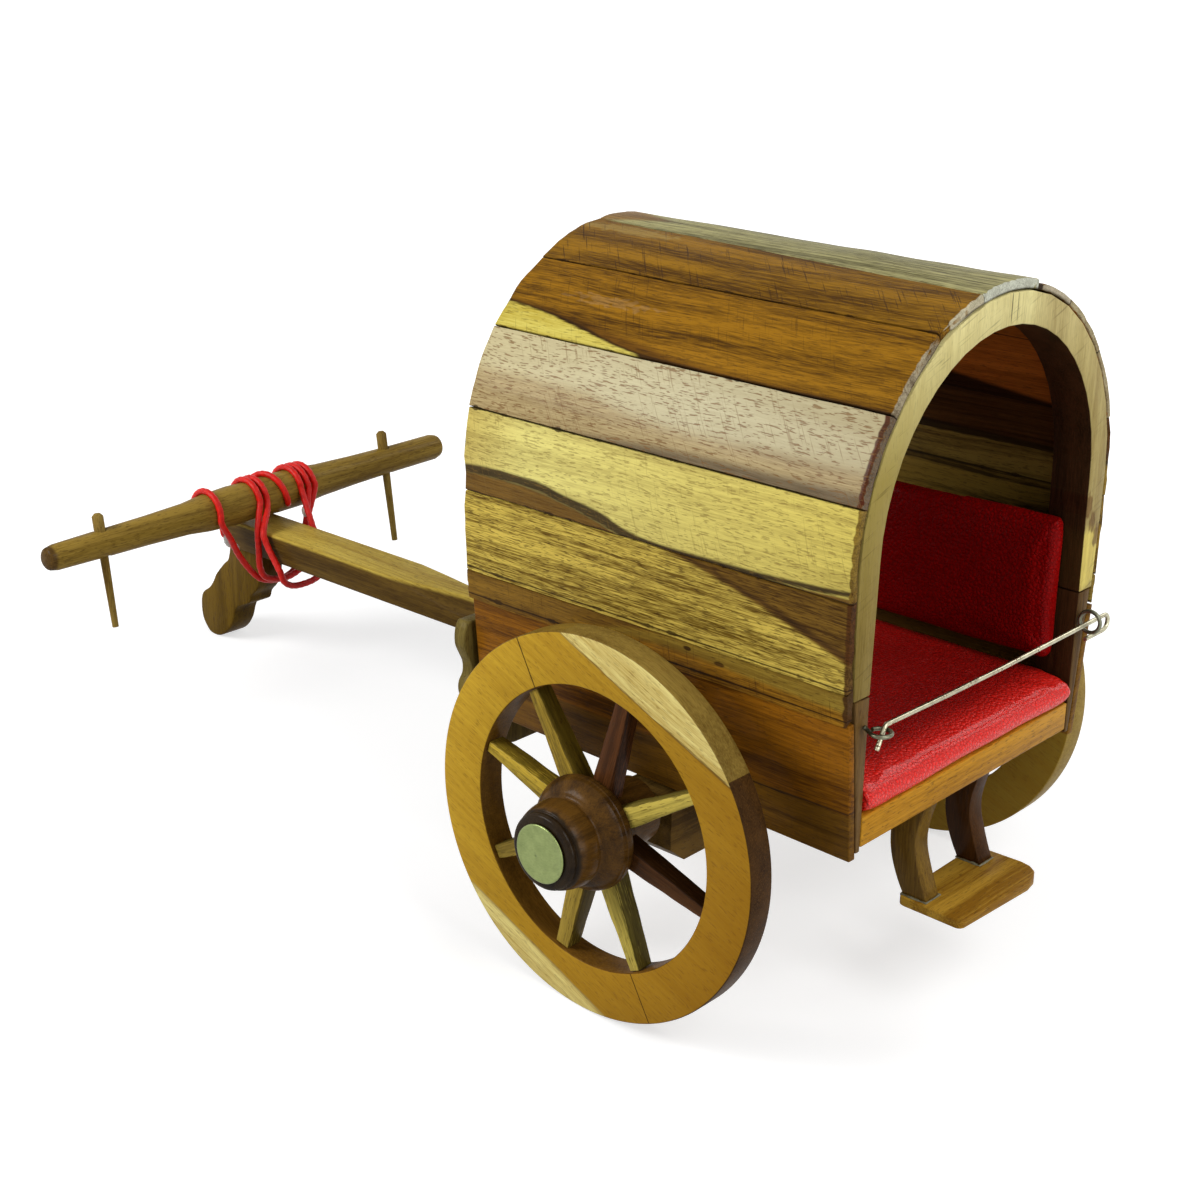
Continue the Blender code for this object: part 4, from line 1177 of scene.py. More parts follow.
    def arches(self) -> None:
        """Dresses the two arches and the rear posts."""
        # Painted light and shade: the rear arch's colours grow paler with height, standing for light falling from
        # above.
        rear = Wood((0.80, 0.70, 0.32), (0.40, 0.30, 0.09), line=(0.05, 0.025, 0.008), lay=Lay.FACE, seed=21,
                    figure=0.7, lines=0.5, fibre=0.6, pores=0.15, saw=0.45, saw_slope=0.35,
                    run=((60, (0.145, 0.090, 0.018)), (110, (0.205, 0.140, 0.030)), (145, (0.35, 0.275, 0.070)),
                         (162, (0.60, 0.51, 0.20)), (176, (0.86, 0.77, 0.36))),
                    # Painted shade: this band darkens the arch's right half.
                    marks=(Band((0.56, 0.45, 0.19), (0.32, 0.23, 0.085), flat(-80), flat(-14), 6.0, 0.7),
                           Spot((0.92, 0.76, 0.20), (0.66, 0.50, 0.12), (103.0, -49.0), (9.5, 6.0), 0.9, 0.2),
                           *(Spot((0.21, 0.105, 0.035), (0.10, 0.045, 0.015), at, (3.4, 1.7), 0.75, 0.8)
                             for at in ((118.0, -47.4), (113.5, -49.9), (109.0, -52.6))),
                           Spot(INK, INK, (176.4, -0.6), (4.4, 0.22), 0.85, 0.3),
                           Spot(INK, INK, (176.2, -3.2), (3.8, 0.17), 0.7, 0.3),
                           # Painted shade on the inner face of the arch.
                           soffit_shade((0.050, 0.013, 0.005), (0.014, 0.004, 0.002), 0.97)))
        front = Wood((0.32, 0.20, 0.045), (0.15, 0.08, 0.018), lay=Lay.FACE, seed=22)
        post = Wood((0.165, 0.092, 0.027), (0.065, 0.032, 0.011), lay=Lay.FACE, seed=23, coat=0.07,
                    # Painted shade on the inner faces of the posts.
                    marks=(soffit_shade((0.055, 0.018, 0.007), (0.02, 0.007, 0.003), 0.9),))
        for name, wood, slot in (("rear_arch", rear, "arch_wood"), ("front_arch", front, "arch_wood"),
                                 ("rear_post_left", post, "post_wood"), ("rear_post_right", post, "post_wood")):
            add_worn(name, wood, slot, self.arch_edge)

    def side_boards(self) -> None:
        """Dresses the boards under the hood on both sides."""
        left = Wood((0.30, 0.113, 0.007), (0.080, 0.028, 0.003), lay=Lay.HOOD, seed=8, figure=0.8, lines=0.9, saw=0.2,
                    saw_slope=0.1, marks=(
            Band((0.11, 0.070, 0.012), (0.06, 0.032, 0.006), ((-65, 149.2), (-45, 148.8), (-20, 148.0), (65, 146)),
                 flat(170), 0.5, 0.55),
            Band((0.05, 0.025, 0.010), INK, ((-65, 148.3), (-33, 148.9), (-20, 149.5), (65, 155)),
                 ((-65, 148.7), (-33, 149.3), (-20, 149.5), (65, 155)), 0.15, 0.9)))
        right = Wood((0.26, 0.125, 0.018), (0.11, 0.048, 0.008), lay=Lay.HOOD, seed=18, lines=0.8)
        for name, wood in (("side_board_left", left), ("side_board_right", right)):
            add_worn(name, wood, "side_board_wood", self.side_edge)

    def build(self) -> None:
        """Builds the hood."""
        self.planks()
        self.arches()
        self.side_boards()


# ---------------------------------------------------------------------------------------------------------------------
# Underbody
# ---------------------------------------------------------------------------------------------------------------------
@dataclass
class Underbody:
    """Floor, axle block, front board, step and its brackets with the squeezed-out glue."""

    bracket_feet: tuple[tuple[float, float, float, float], ...] = (
        (-0.0593, -0.0523, 0.0096, 0.0156), (-0.0583, -0.0513, -0.0169, -0.0109))
    step_top: float = 0.0285
    step_corner: float = 0.0011
    edge: float = 0.00035
    bead_out: float = 0.00015
    bead_size: float = 0.00033
    bead_change: float = 0.00022
    bead_steps: int = 14
    bead_sides: int = 8

    def timbers(self) -> dict[str, tuple[Wood, str]]:
        """Gives the timber and slot of each piece.

        Returns:
            The timbers by node.
        """
        return {
            "floor_board": (Wood((0.60, 0.29, 0.022), (0.32, 0.135, 0.009), lay=Lay.ACROSS, seed=31, figure=0.7,
                                 lines=0.8, wander=1.5, coat=0.08), "floor_wood"),
            "axle_block": (Wood((0.16, 0.09, 0.020), (0.06, 0.032, 0.008), lay=Lay.ACROSS, seed=32), "axle_wood"),
            "front_board": (Wood((0.19, 0.14, 0.035), (0.09, 0.062, 0.015), lay=Lay.UPRIGHT, seed=33, lines=0.9),
                            "front_board_wood"),
            "step_bracket_left": (Wood((0.21, 0.120, 0.020), (0.085, 0.043, 0.008), lay=Lay.UPRIGHT, seed=34,
                                       coat=0.07), "bracket_wood"),
            # Painted shade: the right bracket has a much darker copy of the left one's timber, for the shade it stands
            # in.
            "step_bracket_right": (Wood((0.070, 0.027, 0.006), (0.026, 0.010, 0.003), lay=Lay.UPRIGHT, seed=35,
                                        coat=0.07), "bracket_wood"),
            "step_board": (Wood((0.52, 0.30, 0.036), (0.26, 0.122, 0.011), lay=Lay.ACROSS, seed=36, lines=0.9,
                                figure=1.2, wander=2.0, coat=0.07), "step_wood"),
        }

    def glue_bead(self, foot: tuple[float, float, float, float]) -> Sequence[Sequence[Vector]]:
        """Builds the uneven bead of glue round a bracket's foot.

        Args:
            foot: the foot's lowest and highest x and y, level, in metres.

        Returns:
            The rings of the bead.
        """
        x0, x1, y0, y1 = foot
        corners = [(x1, y0), (x1, y1), (x0, y1), (x0, y0)]
        path = []
        for (ax, ay), (bx, by) in zip(corners, corners[1:] + corners[:1]):
            for i in range(self.bead_steps):
                t = i / self.bead_steps
                path.append((ax + (bx - ax) * t, ay + (by - ay) * t))
        middle = ((x0 + x1) / 2, (y0 + y1) / 2)
        rings = []
        for x, y in path:
            out = Vector((x - middle[0], y - middle[1], 0.0)).normalized()
            size = self.bead_size + self.bead_change * noise.noise(Vector((x * 700, y * 700, 3.0)))
            centre = Vector((x, y, self.step_top + 0.0001)) + out * self.bead_out
            ring = []
            for k in range(self.bead_sides):
                turn = math.tau * k / self.bead_sides
                at = centre + out * (math.cos(turn) * size) + Vector((0, 0, math.sin(turn) * size * 0.9))
                ring.append(parked(*at))
            rings.append(ring)
        return rings

    def build(self) -> None:
        """Builds the underbody."""
        for name, (wood, slot) in self.timbers().items():
            add_worn(name, wood, slot, self.edge, corner=self.step_corner if name == "step_board" else 0.0)
        glue = Plastic((0.27, 0.26, 0.17), (0.12, 0.10, 0.05), 1.6, 0.35, Gloss(0.10, 0.1, specular=0.2),
                       0.0001).make("dried_glue")
        for side, foot in zip(("left", "right"), self.bracket_feet):
            mesh = skin(f"step_glue_{side}", self.glue_bead(foot), closed=True)
            add_piece(f"step_glue_{side}", mesh, "cart", "bracket_wood", glue, sharp=80.0)


# ---------------------------------------------------------------------------------------------------------------------
# Soft trim
# ---------------------------------------------------------------------------------------------------------------------
@dataclass
class Cushion:
    """Padded piece of leatherette, blown up by a cloth simulation inside its node's space."""

    node: str
    outline: Curve
    span: tuple[float, float]
    swept_along_y: bool
    pinned: Callable[[Vector], bool]
    cap: float
    fill: float
    rise: float = 0.0
    bow: float = 0.0
    ears: tuple[tuple[float, float, float], ...] = ()
    magnify: float = 4.0
    voxel: float = 0.0046
    pressure: float = 4.0
    frames: int = 20

    def form(self) -> bpy.types.Mesh:
        """Builds the starting form, magnified for the simulation.

        Returns:
            The mesh, level and magnified.
        """
        rings = []
        centre = Vector((sum(a for a, _ in self.outline), sum(b for _, b in self.outline))) / len(self.outline)
        low, high = self.span
        bottom, top = min(b for _, b in self.outline), max(b for _, b in self.outline)
        for share, shrink in ((0.0, 0.90), (0.006, 0.97), (0.02, 1.0), (0.25, 1.0), (0.5, 1.0), (0.75, 1.0),
                              (0.98, 1.0), (0.994, 0.97), (1.0, 0.90)):
            at = low + (high - low) * share
            ring = []
            side = max(0.0, 1 - share * 6) - max(0.0, share * 6 - 5)
            for a, b in self.outline:
                height = (b - bottom) / (top - bottom)
                a, b = centre.x + (a - centre.x) * (1 - (1 - shrink) * 0.1), centre.y + (b - centre.y) * shrink
                b += self.rise * height * (1 - share)
                end = at + self.bow * (1 - (2 * height - 1) ** 2) * side
                ring.append(Vector((a, end, b)) if self.swept_along_y else Vector((end, a, b)))
            rings.append([point * self.magnify for point in ring])
        return skin(self.node + "_form", rings)

    def simulate(self, mesh: bpy.types.Mesh) -> bpy.types.Mesh:
        """Remeshes the form and blows it up.

        Args:
            mesh: the magnified form.

        Returns:
            The blown-up mesh, still magnified.
        """
        scene = bpy.context.scene
        cloth_object = bpy.data.objects.new(self.node + "_cloth", mesh)
        scene.collection.objects.link(cloth_object)
        remesh = cloth_object.modifiers.new("remesh", "REMESH")
        remesh.mode = "VOXEL"
        remesh.voxel_size = self.voxel
        dense = bpy.data.meshes.new_from_object(cloth_object.evaluated_get(bpy.context.evaluated_depsgraph_get()))
        cloth_object.modifiers.clear()
        cloth_object.data = dense
        rest = [v.co.copy() for v in dense.vertices]
        held = cloth_object.vertex_groups.new(name="held")
        held.add([v.index for v in dense.vertices if self.pinned(v.co / self.magnify)], 1.0, "REPLACE")
        cloth = cloth_object.modifiers.new("cloth", "CLOTH")
        cloth.settings.quality = 6
        cloth.settings.use_pressure = True
        cloth.settings.uniform_pressure_force = self.pressure
        cloth.settings.vertex_group_mass = "held"
        cloth.settings.effector_weights.gravity = 0.0
        cloth.point_cache.frame_start, cloth.point_cache.frame_end = 1, self.frames
        for step in range(1, self.frames + 1):
            scene.frame_set(step)
        dense = bpy.data.meshes.new_from_object(cloth_object.evaluated_get(bpy.context.evaluated_depsgraph_get()))
        scene.frame_set(1)
        cap = self.cap * self.magnify
        for vertex, start in zip(dense.vertices, rest):
            move = vertex.co - start
            if move.length > cap:
                vertex.co = start + move * (cap / move.length)
        bpy.data.objects.remove(cloth_object)
        return dense

    def build(self, finish: bpy.types.Material) -> bpy.types.Object:
        """Builds the cushion, puckers it and lets it down to size.

        Args:
            finish: the leatherette.

        Returns:
            The object.
        """
        mesh = self.simulate(self.form())
        low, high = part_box(self.node)
        for vertex in mesh.vertices:
            level = vertex.co / self.magnify
            level += wobble(level, 0.016, 0.00030, 3.0)
            for x, z, reach in self.ears:
                away = Vector((level.x - x, 0.0, level.z - z))
                level -= away.normalized() * reach * math.exp(-(away.length / 0.0030) ** 2)
            vertex.co = parked(*level)
        work = bmesh.new()
        work.from_mesh(mesh)
        bmesh.ops.smooth_vert(work, verts=work.verts, factor=0.5, use_axis_x=True, use_axis_y=True, use_axis_z=True)
        work.to_mesh(mesh)
        work.free()
        piece = add_piece(self.node + "_padded", mesh, "cart", "leatherette", finish, self.node, sharp=180.0)
        smooth = piece.modifiers.new("smooth", "SUBSURF")
        smooth.levels = smooth.render_levels = 1
        LOG.info("%s: node from %s to %s", self.node, tuple(low), tuple(high))
        return piece


@dataclass
class Trim:
    """Seat and side pads."""

    seat: Curve = (
        (-0.0585, 0.0641), (0.0580, 0.0641), (0.0583, 0.0655), (0.0580, 0.0704), (0.0565, 0.0713), (0.0300, 0.0716),
        (-0.0300, 0.0717), (-0.0520, 0.0715), (-0.0575, 0.0706), (-0.0606, 0.0690), (-0.0616, 0.0670),
        (-0.0610, 0.0652))
    seat_span: tuple[float, float] = (-0.0464, 0.0464)
    seat_held: float = 0.0648
    pad: Curve = (
        (0.0458, 0.0748), (0.0459, 0.1118), (0.0450, 0.1120), (0.0424, 0.1116), (0.0414, 0.1102), (0.0410, 0.0930),
        (0.0413, 0.0764), (0.0422, 0.0750))
    pad_span: tuple[float, float] = (-0.0542, 0.0521)
    pad_held: float = 0.0452
    pad_rise: float = 0.0026
    pad_bow: float = 0.0012
    pad_ears: tuple[tuple[float, float, float], ...] = ((-0.0556, 0.1160, 0.0011), (-0.0554, 0.0734, 0.0008))
    puff: float = 0.0006

    def build(self) -> None:
        """Builds the cushions."""
        finish = Leatherette().make("red_leatherette")
        # Painted shade and light: the pads take a darker copy of the leatherette, with a bright rear edge painted on.
        shaded = Leatherette((0.27, 0.001, 0.001), (0.12, 0.001, 0.001), (0.42, 0.004, 0.003), (52.5, 56.5), 0.00034,
                             Gloss(0.04, 0.18, specular=0.03)).make("red_leatherette_painted_shade")
        Cushion("seat_cushion", self.seat, self.seat_span, True, lambda p: p.z < self.seat_held, self.puff,
                0.7).build(finish)
        for name, side in (("left", 1.0), ("right", -1.0)):
            Cushion(f"side_pad_{name}", tuple((side * y, z) for y, z in self.pad), self.pad_span, False,
                    lambda p, s=side: p.y * s > self.pad_held, self.puff, 0.6, self.pad_rise, self.pad_bow,
                    self.pad_ears).build(shaded)


# ---------------------------------------------------------------------------------------------------------------------
# Draught gear
# ---------------------------------------------------------------------------------------------------------------------
@dataclass
class DraughtGear:
    """Pole, its carved foot, the yoke with its pins and the lashing."""

    pole_front: float = 0.2255
    pole_top: float = 0.0612
    yoke_x: float = 0.2155
    yoke_z: float = 0.0689
    yoke_tilt: float = math.radians(0.82)
    cord_radius: float = 0.00108
    cord_step: float = 0.00042
    twist: float = 0.0011
    stations: Curve = (
        (-0.0808, 0.0028), (-0.0803, 0.0039), (-0.0780, 0.0045), (-0.0600, 0.0046), (-0.0400, 0.0050),
        (-0.0250, 0.0056), (-0.0160, 0.0065), (-0.0060, 0.0066), (0.0030, 0.0062), (0.0120, 0.0066),
        (0.0220, 0.0061), (0.0300, 0.0052), (0.0450, 0.0047), (0.0650, 0.0044), (0.0790, 0.0041),
        (0.0818, 0.0035), (0.0825, 0.0025))

    def timbers(self) -> dict[str, tuple[Wood, str, float]]:
        """Gives the timber, slot and worn edge of each piece.

        Returns:
            The timbers by node.
        """
        pin_light, pin_dark = (0.30, 0.20, 0.045), (0.15, 0.085, 0.017)
        return {
            "pole": (Wood((0.62, 0.46, 0.085), (0.34, 0.21, 0.028), seed=41, figure=0.7, lines=0.8, coat=0.03, marks=(
                # Painted shade: the pole's sides below its top face are darkened.
                Layer((0.11, 0.058, 0.010), (0.04, 0.019, 0.004), 60.5, 0.5, 0.97),)),
                     "pole_wood", 0.0004),
            "pole_foot": (Wood((0.145, 0.082, 0.008), (0.065, 0.034, 0.003), lay=Lay.UPRIGHT, seed=42, coat=0.03),
                          "pole_foot_wood", 0.0005),
            "yoke": (Wood((0.32, 0.205, 0.035), (0.13, 0.070, 0.010), lay=Lay.ACROSS, seed=43, coat=0.07, marks=(
                EndStrip((0.10, 0.05, 0.012), (0.04, 0.02, 0.006), 80.4, 90.0, 0.7, 0.9),)), "yoke_wood",
                     0.0003),
            "yoke_pin_left": (Wood(pin_light, pin_dark, lay=Lay.UPRIGHT, seed=44), "pin_wood", 0.0),
            "yoke_pin_right": (Wood(pin_light, pin_dark, lay=Lay.UPRIGHT, seed=45), "pin_wood", 0.0),
        }

    def yoke_radius(self, along: float) -> float:
        """Gives the yoke's radius.

        Args:
            along: place along the yoke in metres.

        Returns:
            The radius there.
        """
        for (start, first), (end, second) in zip(self.stations[:-1], self.stations[1:]):
            if start <= along <= end:
                return first + (second - first) * (along - start) / (end - start)
        return self.stations[0][1]

    def over(self, start: float, end: float, turns: Sequence[float]) -> list[tuple[float, float, float]]:
        """Gives a pass of the cord over the yoke.

        Args:
            start: where along the yoke it begins.
            end: where it ends.
            turns: its turns round the yoke in degrees.

        Returns:
            The pass's level points.
        """
        row = []
        for i, turn in enumerate(turns):
            along = start + (end - start) * i / (len(turns) - 1)
            reach = self.yoke_radius(along) + self.cord_radius - 0.0001
            height = self.yoke_z - along * math.tan(self.yoke_tilt)
            row.append((self.yoke_x + reach * math.cos(math.radians(turn)), along,
                        height + reach * math.sin(math.radians(turn))))
        return row

    def lashing(self) -> list[Vector]:
        """Gives the smooth path of the cord.

        Returns:
            Its points in the scene.
        """
        left, right, last = (0.0215, 0.0055, 0.0025), (-0.0178, -0.0149, -0.0120), (-0.0005, -0.0065)
        under = (
            ((-0.0175, 0.0215, 0.0662), (-0.0170, 0.0180, 0.0604), (-0.0163, 0.0145, 0.0540),
             (-0.0167, 0.0105, 0.0480), (-0.0183, 0.0070, 0.0442), (-0.0189, 0.0000, 0.0426),
             (-0.0183, -0.0070, 0.0442), (-0.0169, -0.0108, 0.0490), (-0.0175, -0.0120, 0.0560),
             (-0.0179, -0.0150, 0.0640)),
            ((-0.0185, 0.0072, 0.0665), (-0.0205, 0.0096, 0.0615), (-0.0209, 0.0098, 0.0550),
             (-0.0212, 0.0098, 0.0495), (-0.0216, 0.0075, 0.0456), (-0.0220, 0.0000, 0.0438),
             (-0.0216, -0.0075, 0.0456), (-0.0212, -0.0098, 0.0495), (-0.0209, -0.0100, 0.0560),
             (-0.0195, -0.0120, 0.0630)),
            ((-0.0193, 0.0045, 0.0670), (-0.0233, 0.0095, 0.0622), (-0.0252, 0.0098, 0.0583),
             (-0.0290, 0.0098, 0.0535), (-0.0314, 0.0098, 0.0505), (-0.0320, 0.0085, 0.0468),
             (-0.0320, 0.0040, 0.0446), (-0.0317, -0.0040, 0.0446), (-0.0310, -0.0085, 0.0468),
             (-0.0297, -0.0098, 0.0510), (-0.0260, -0.0098, 0.0580), (-0.0227, -0.0104, 0.0632)))
        turns = (12, 32, 52, 72, 92, 112, 132, 152, 172)
        end_face = self.pole_front + 0.00155
        path: list[tuple[float, float, float]] = []
        for start, end, below, height, follower in zip(left, right, under, (0.0540, 0.0568, 0.0596),
                                                       left[1:] + last[:1]):
            path += self.over(start, start, turns)
            path += [(self.pole_front + x, y, z) for x, y, z in below]
            path += self.over(end, end, turns[::-1])
            path += [(end_face, -0.0095, height), (end_face, follower, height),
                     (end_face, follower, self.pole_top + 0.00125)]
        path += self.over(last[0], last[1], turns + (190, 205))
        return [parked(*point) for point in spline(path, 8)]

    def cord(self) -> None:
        """Builds the lashing as a twisted cord of three strands."""
        path = self.lashing()
        lengths = [0.0]
        for first, second in zip(path, path[1:]):
            lengths.append(lengths[-1] + (second - first).length)
        LOG.info("lashing: %.0f mm of cord", lengths[-1] / MM)
        even = []
        step, k = self.cord_step, 0
        for i in range(int(lengths[-1] / step) + 1):
            at = i * step
            while k < len(lengths) - 2 and lengths[k + 1] < at:
                k += 1
            share = (at - lengths[k]) / max(lengths[k + 1] - lengths[k], 1e-9)
            even.append(path[k].lerp(path[k + 1], share))

        def section(i: int, turn: float) -> float:
            """Gives the radius of three twisted strands, tapered at both ends.

            Args:
                i: step along the cord.
                turn: turn round it in radians.

            Returns:
                The radius there.
            """
            end = min(i, len(even) - 1 - i)
            taper = 1.0 if end > 3 else (0.35, 0.7, 0.88, 0.96)[end]
            return self.cord_radius * taper * (0.90 + 0.10 * abs(math.cos(1.5 * (turn - i * step / self.twist))))

        mesh = skin("lashing_cord", sweep(even, section, 14))
        red = Plastic((0.80, 0.014, 0.006), (0.46, 0.005, 0.003), 6.0, 0.42, Gloss(0.06, 0.3, specular=0.2),
                      0.00005).make("red_cord")
        add_piece("lashing_cord", mesh, "cart", "red_cord", red, "lashing", sharp=180.0)

    def glue(self) -> None:
        """Builds the blobs of glue that hold the cord."""
        clear = Plastic((0.80, 0.78, 0.72), (0.62, 0.58, 0.50), 1.2, 0.18, Gloss(0.3, 0.08, alpha=0.82),
                        0.0001).make("clear_glue")
        for number, (x, y, z, size) in enumerate(((0.2118, 0.0166, 0.0590, 0.0017), (0.2100, 0.0148, 0.0560, 0.0013),
                                                  (0.2052, -0.0107, 0.0640, 0.0015)), start=1):
            work = bmesh.new()
            bmesh.ops.create_icosphere(work, subdivisions=4, radius=1.0)
            for vertex in work.verts:
                bulge = 1 + 0.35 * noise.noise(vertex.co * 1.4 + Vector((number * 5.0, 0, 0)))
                vertex.co = parked(x, y, z) + Vector((vertex.co.x * 0.8, vertex.co.y * 0.7, vertex.co.z * 1.3)) \
                    * (size * bulge)
            name = f"cord_glue_{number}"
            add_piece(name, settled(work, name), "cart", "red_cord", clear, sharp=180.0)

    def build(self) -> None:
        """Builds the draught gear."""
        for name, (wood, slot, edge) in self.timbers().items():
            sharp, turn = (50.0, 40.0) if name.startswith("yoke") else (30.0, 25.0)
            add_worn(name, wood, slot, edge, sharp, turn)
        self.cord()
        self.glue()


# ---------------------------------------------------------------------------------------------------------------------
# Safety bar
# ---------------------------------------------------------------------------------------------------------------------
@dataclass
class SafetyBar:
    """Wire bar across the rear and the two screw eyes that hold it."""

    bar: Metal = Metal((0.54, 0.51, 0.36), (0.24, 0.22, 0.14), rusty=1.0, rough=0.32)
    eye: Metal = Metal((0.20, 0.20, 0.14), (0.08, 0.08, 0.05), rusty=0.6, rough=0.40)

    def build(self) -> None:
        """Dresses the wire pieces."""
        steel, dull = self.bar.make("steel_bar"), self.eye.make("dull_steel")
        for name, body, finish in (("safety_bar", "safety_bar", steel), ("screw_eye_left", "cart", dull),
                                   ("screw_eye_right", "cart", dull)):
            add_piece(name + "_wire", eased(name + "_wire", name, 0.0), body, "steel_wire", finish, name, sharp=60.0)


# ---------------------------------------------------------------------------------------------------------------------
# Wheels
# ---------------------------------------------------------------------------------------------------------------------
@dataclass
class Wheel:
    """Rim of two halves, eight spokes, a turned hub and its brass cap."""

    name: str
    side: int
    face: tuple[tuple[float, Colour], ...] = ((-50, (0.36, 0.175, 0.012)), (50, (0.60, 0.370, 0.032)))
    tread: tuple[Colour, Colour] = ((0.24, 0.150, 0.026), (0.10, 0.055, 0.009))
    tread_split: bool = True
    radius: float = 0.0500
    inner: float = 0.0368
    outer_face: float = 0.0756
    inner_face: float = 0.0677
    edge: float = 0.0004
    root: float = 0.0092
    root_width: float = 0.0058
    spoke_depths: tuple[float, float] = (0.0060, 0.0048)
    spoke_edge: float = 0.00028
    spoke_steps: int = 12
    rim_steps: int = 192
    turned_steps: int = 72
    halves: tuple[tuple[tuple[float, float], tuple[float, float], float], ...] = (
        ((24.1, 43.5), (17.9, 32.1), 0.36), ((-17.9, -39.8), (-23.0, -48.8), 0.30))
    tread_ends: tuple[tuple[float, float], tuple[float, float], float] = ((-42.1, 26.2), (-27.0, -42.0), 0.0)
    angles: tuple[float, ...] = (17.4, 57.5, 104.4, 148.9, 195.1, 245.5, 284.4, 331.0)
    tips: tuple[float, ...] = (0.0031, 0.0033, 0.0041, 0.0031, 0.0031, 0.0032, 0.0041, 0.0036)
    hub_profile: Curve = (
        (0.0043, 0.0085), (0.0098, 0.0092), (0.0150, 0.0100), (0.0178, 0.0108), (0.0194, 0.0124), (0.0206, 0.0140),
        (0.0222, 0.0147), (0.0240, 0.0145),
        (0.0258, 0.0135), (0.0273, 0.0121), (0.0280, 0.0108), (0.0290, 0.0105), (0.0298, 0.0112), (0.0328, 0.0110),
        (0.0353, 0.0103), (0.0358, 0.0096), (0.0366, 0.0098), (0.0374, 0.0094), (0.0377, 0.0087))

    def at(self, along: float, radius: float, turn: float) -> Vector:
        """Gives a point of the wheel in the scene."""
        return parked(radius * math.cos(turn), self.side * along, AXLE_Z + radius * math.sin(turn))

    def in_grain(self, grain: float, first: tuple[float, float], second: tuple[float, float],
                 width: float) -> tuple[float, float, float, float, float]:
        """Gives a straight cut through the rim in the terms of its finish.

        Args:
            grain: the turn of the fibres.
            first: a point of the cut, ahead of and above the axle in mm.
            second: another one.
            width: width of the cut in mm; all that lies to the rear of it where it is 0.

        Returns:
            The factors of the places along and across the fibres, the two limits and the side that the cut is on.
        """
        (x0, z0), (x1, z1) = first, second
        nx, nz = z1 - z0, x0 - x1
        size = math.hypot(nx, nz) * (1 if nx > 0 else -1)
        nx, nz = nx / size, nz / size
        c, s = math.cos(grain), math.sin(grain)
        at = nx * x0 + nz * z0
        way = math.copysign(1.0, nx * z0 - nz * x0) if width else 0.0
        return nx * c + nz * s, nz * c - nx * s, at - width / 2 if width else -99.0, at + width / 2, way

    def rim(self) -> None:
        """Builds the rim with worn edges."""
        section = []
        for along, radius, dy, dr in ((self.inner_face, self.inner, 1, 1), (self.inner_face, self.radius, 1, -1),
                                      (self.outer_face, self.radius, -1, -1), (self.outer_face, self.inner, -1, 1)):
            corner = []
            for step in range(4):
                turn = math.radians(30 * step)
                corner.append((along + dy * self.edge * (1 - math.sin(turn)),
                               radius + dr * self.edge * (1 - math.cos(turn))))
            section += corner if dy * dr > 0 else corner[::-1]
        rings = []
        for i in range(self.rim_steps):
            turn = math.tau * i / self.rim_steps
            rings.append([self.at(along, radius, turn) for along, radius in section])
        grain = math.atan2(22.8, 52.0)
        cut = [self.in_grain(grain, *ends) for ends in self.halves]
        sap, sap_dark = (0.84, 0.72, 0.27), (0.52, 0.36, 0.09)
        ends = (Ring((0.065, 0.027, 0.008), (0.022, 0.009, 0.003), (0.0, 0.0), 49.8, 60.0, 0.08, 0.95,
                     split=self.in_grain(grain, *self.tread_ends)),) if self.tread_split else ()
        wood = Wood((0.50, 0.27, 0.020), (0.25, 0.105, 0.005), line=(0.14, 0.055, 0.006), lay=Turned(grain), seed=51,
                    figure=0.5, lines=0.6, fibre=0.6, pores=0.35, wander=2.2, coat=0.03, run=self.face, marks=(
            Band(sap, sap_dark, flat(40.6), flat(60), 0.35),
            Band(sap, sap_dark, flat(-60), flat(-42.5), 0.35),
            Band((0.12, 0.048, 0.008), (0.05, 0.02, 0.005), ((-65, 40.35), (0, 40.35), (65, 40.8)),
                 ((-65, 41.1), (0, 40.75), (65, 40.8)), 0.25, 0.7),
            Band((0.12, 0.048, 0.008), (0.05, 0.02, 0.005), flat(-42.9), flat(-42.4), 0.25, 0.4),
            Ring(*self.tread, (0.0, 0.0), 49.8, 60.0, 0.08, 0.95), *ends,
            *(Ring((0.03, 0.012, 0.004), INK, (0.0, 0.0), 36.9, 49.9, 0.08, 0.9, split=split) for split in cut),
            # Partly painted shade: the bore of the rim is darker than its faces.
            Ring((0.17, 0.075, 0.012), (0.06, 0.024, 0.005), (0.0, 0.0), 0.0, 36.98, 0.06, 0.9)))
        add_piece(f"wheel_{self.name}_rim_worn", skin("rim", rings, closed=True), f"wheel_{self.name}", "rim_wood",
                  wood.make(f"rim_{self.name}_wood"), f"wheel_{self.name}_rim", sharp=40.0)

    def hub(self) -> None:
        """Builds the turned hub with its grooves."""
        profile = [(y, r) for y, r, _ in spline([(a, b, 0.0) for a, b in self.hub_profile], 4)]
        rings = []
        for along, radius in [(profile[0][0], 0.0034)] + profile + [(profile[-1][0], 0.002)]:
            groove = 0.00018 * max(0.0, math.sin(along * 6200.0)) if 0.012 < along < 0.024 else 0.0
            rings.append([self.at(ARCH_R + along, radius - groove, math.tau * k / self.turned_steps)
                          for k in range(self.turned_steps)])
        dark_end = sorted(self.side * 1000 * (ARCH_R + along) for along in (0.0352, 0.0400))
        wood = Wood((0.110, 0.050, 0.008), (0.030, 0.013, 0.003), line=INK, lay=Lay.ACROSS, seed=52, figure=1.0,
                    lines=0.5, fibre=0.4, pores=0.25, coat=0.12, coat_rough=0.2, rough=0.40,
                    marks=(EndStrip((0.020, 0.013, 0.006), (0.008, 0.005, 0.003), dark_end[0], dark_end[1], 0.5, 0.9),))
        add_piece(f"wheel_{self.name}_hub_turned", skin("hub", rings), f"wheel_{self.name}", "walnut",
                  wood.make(f"hub_{self.name}_wood"), f"wheel_{self.name}_hub", sharp=40.0)

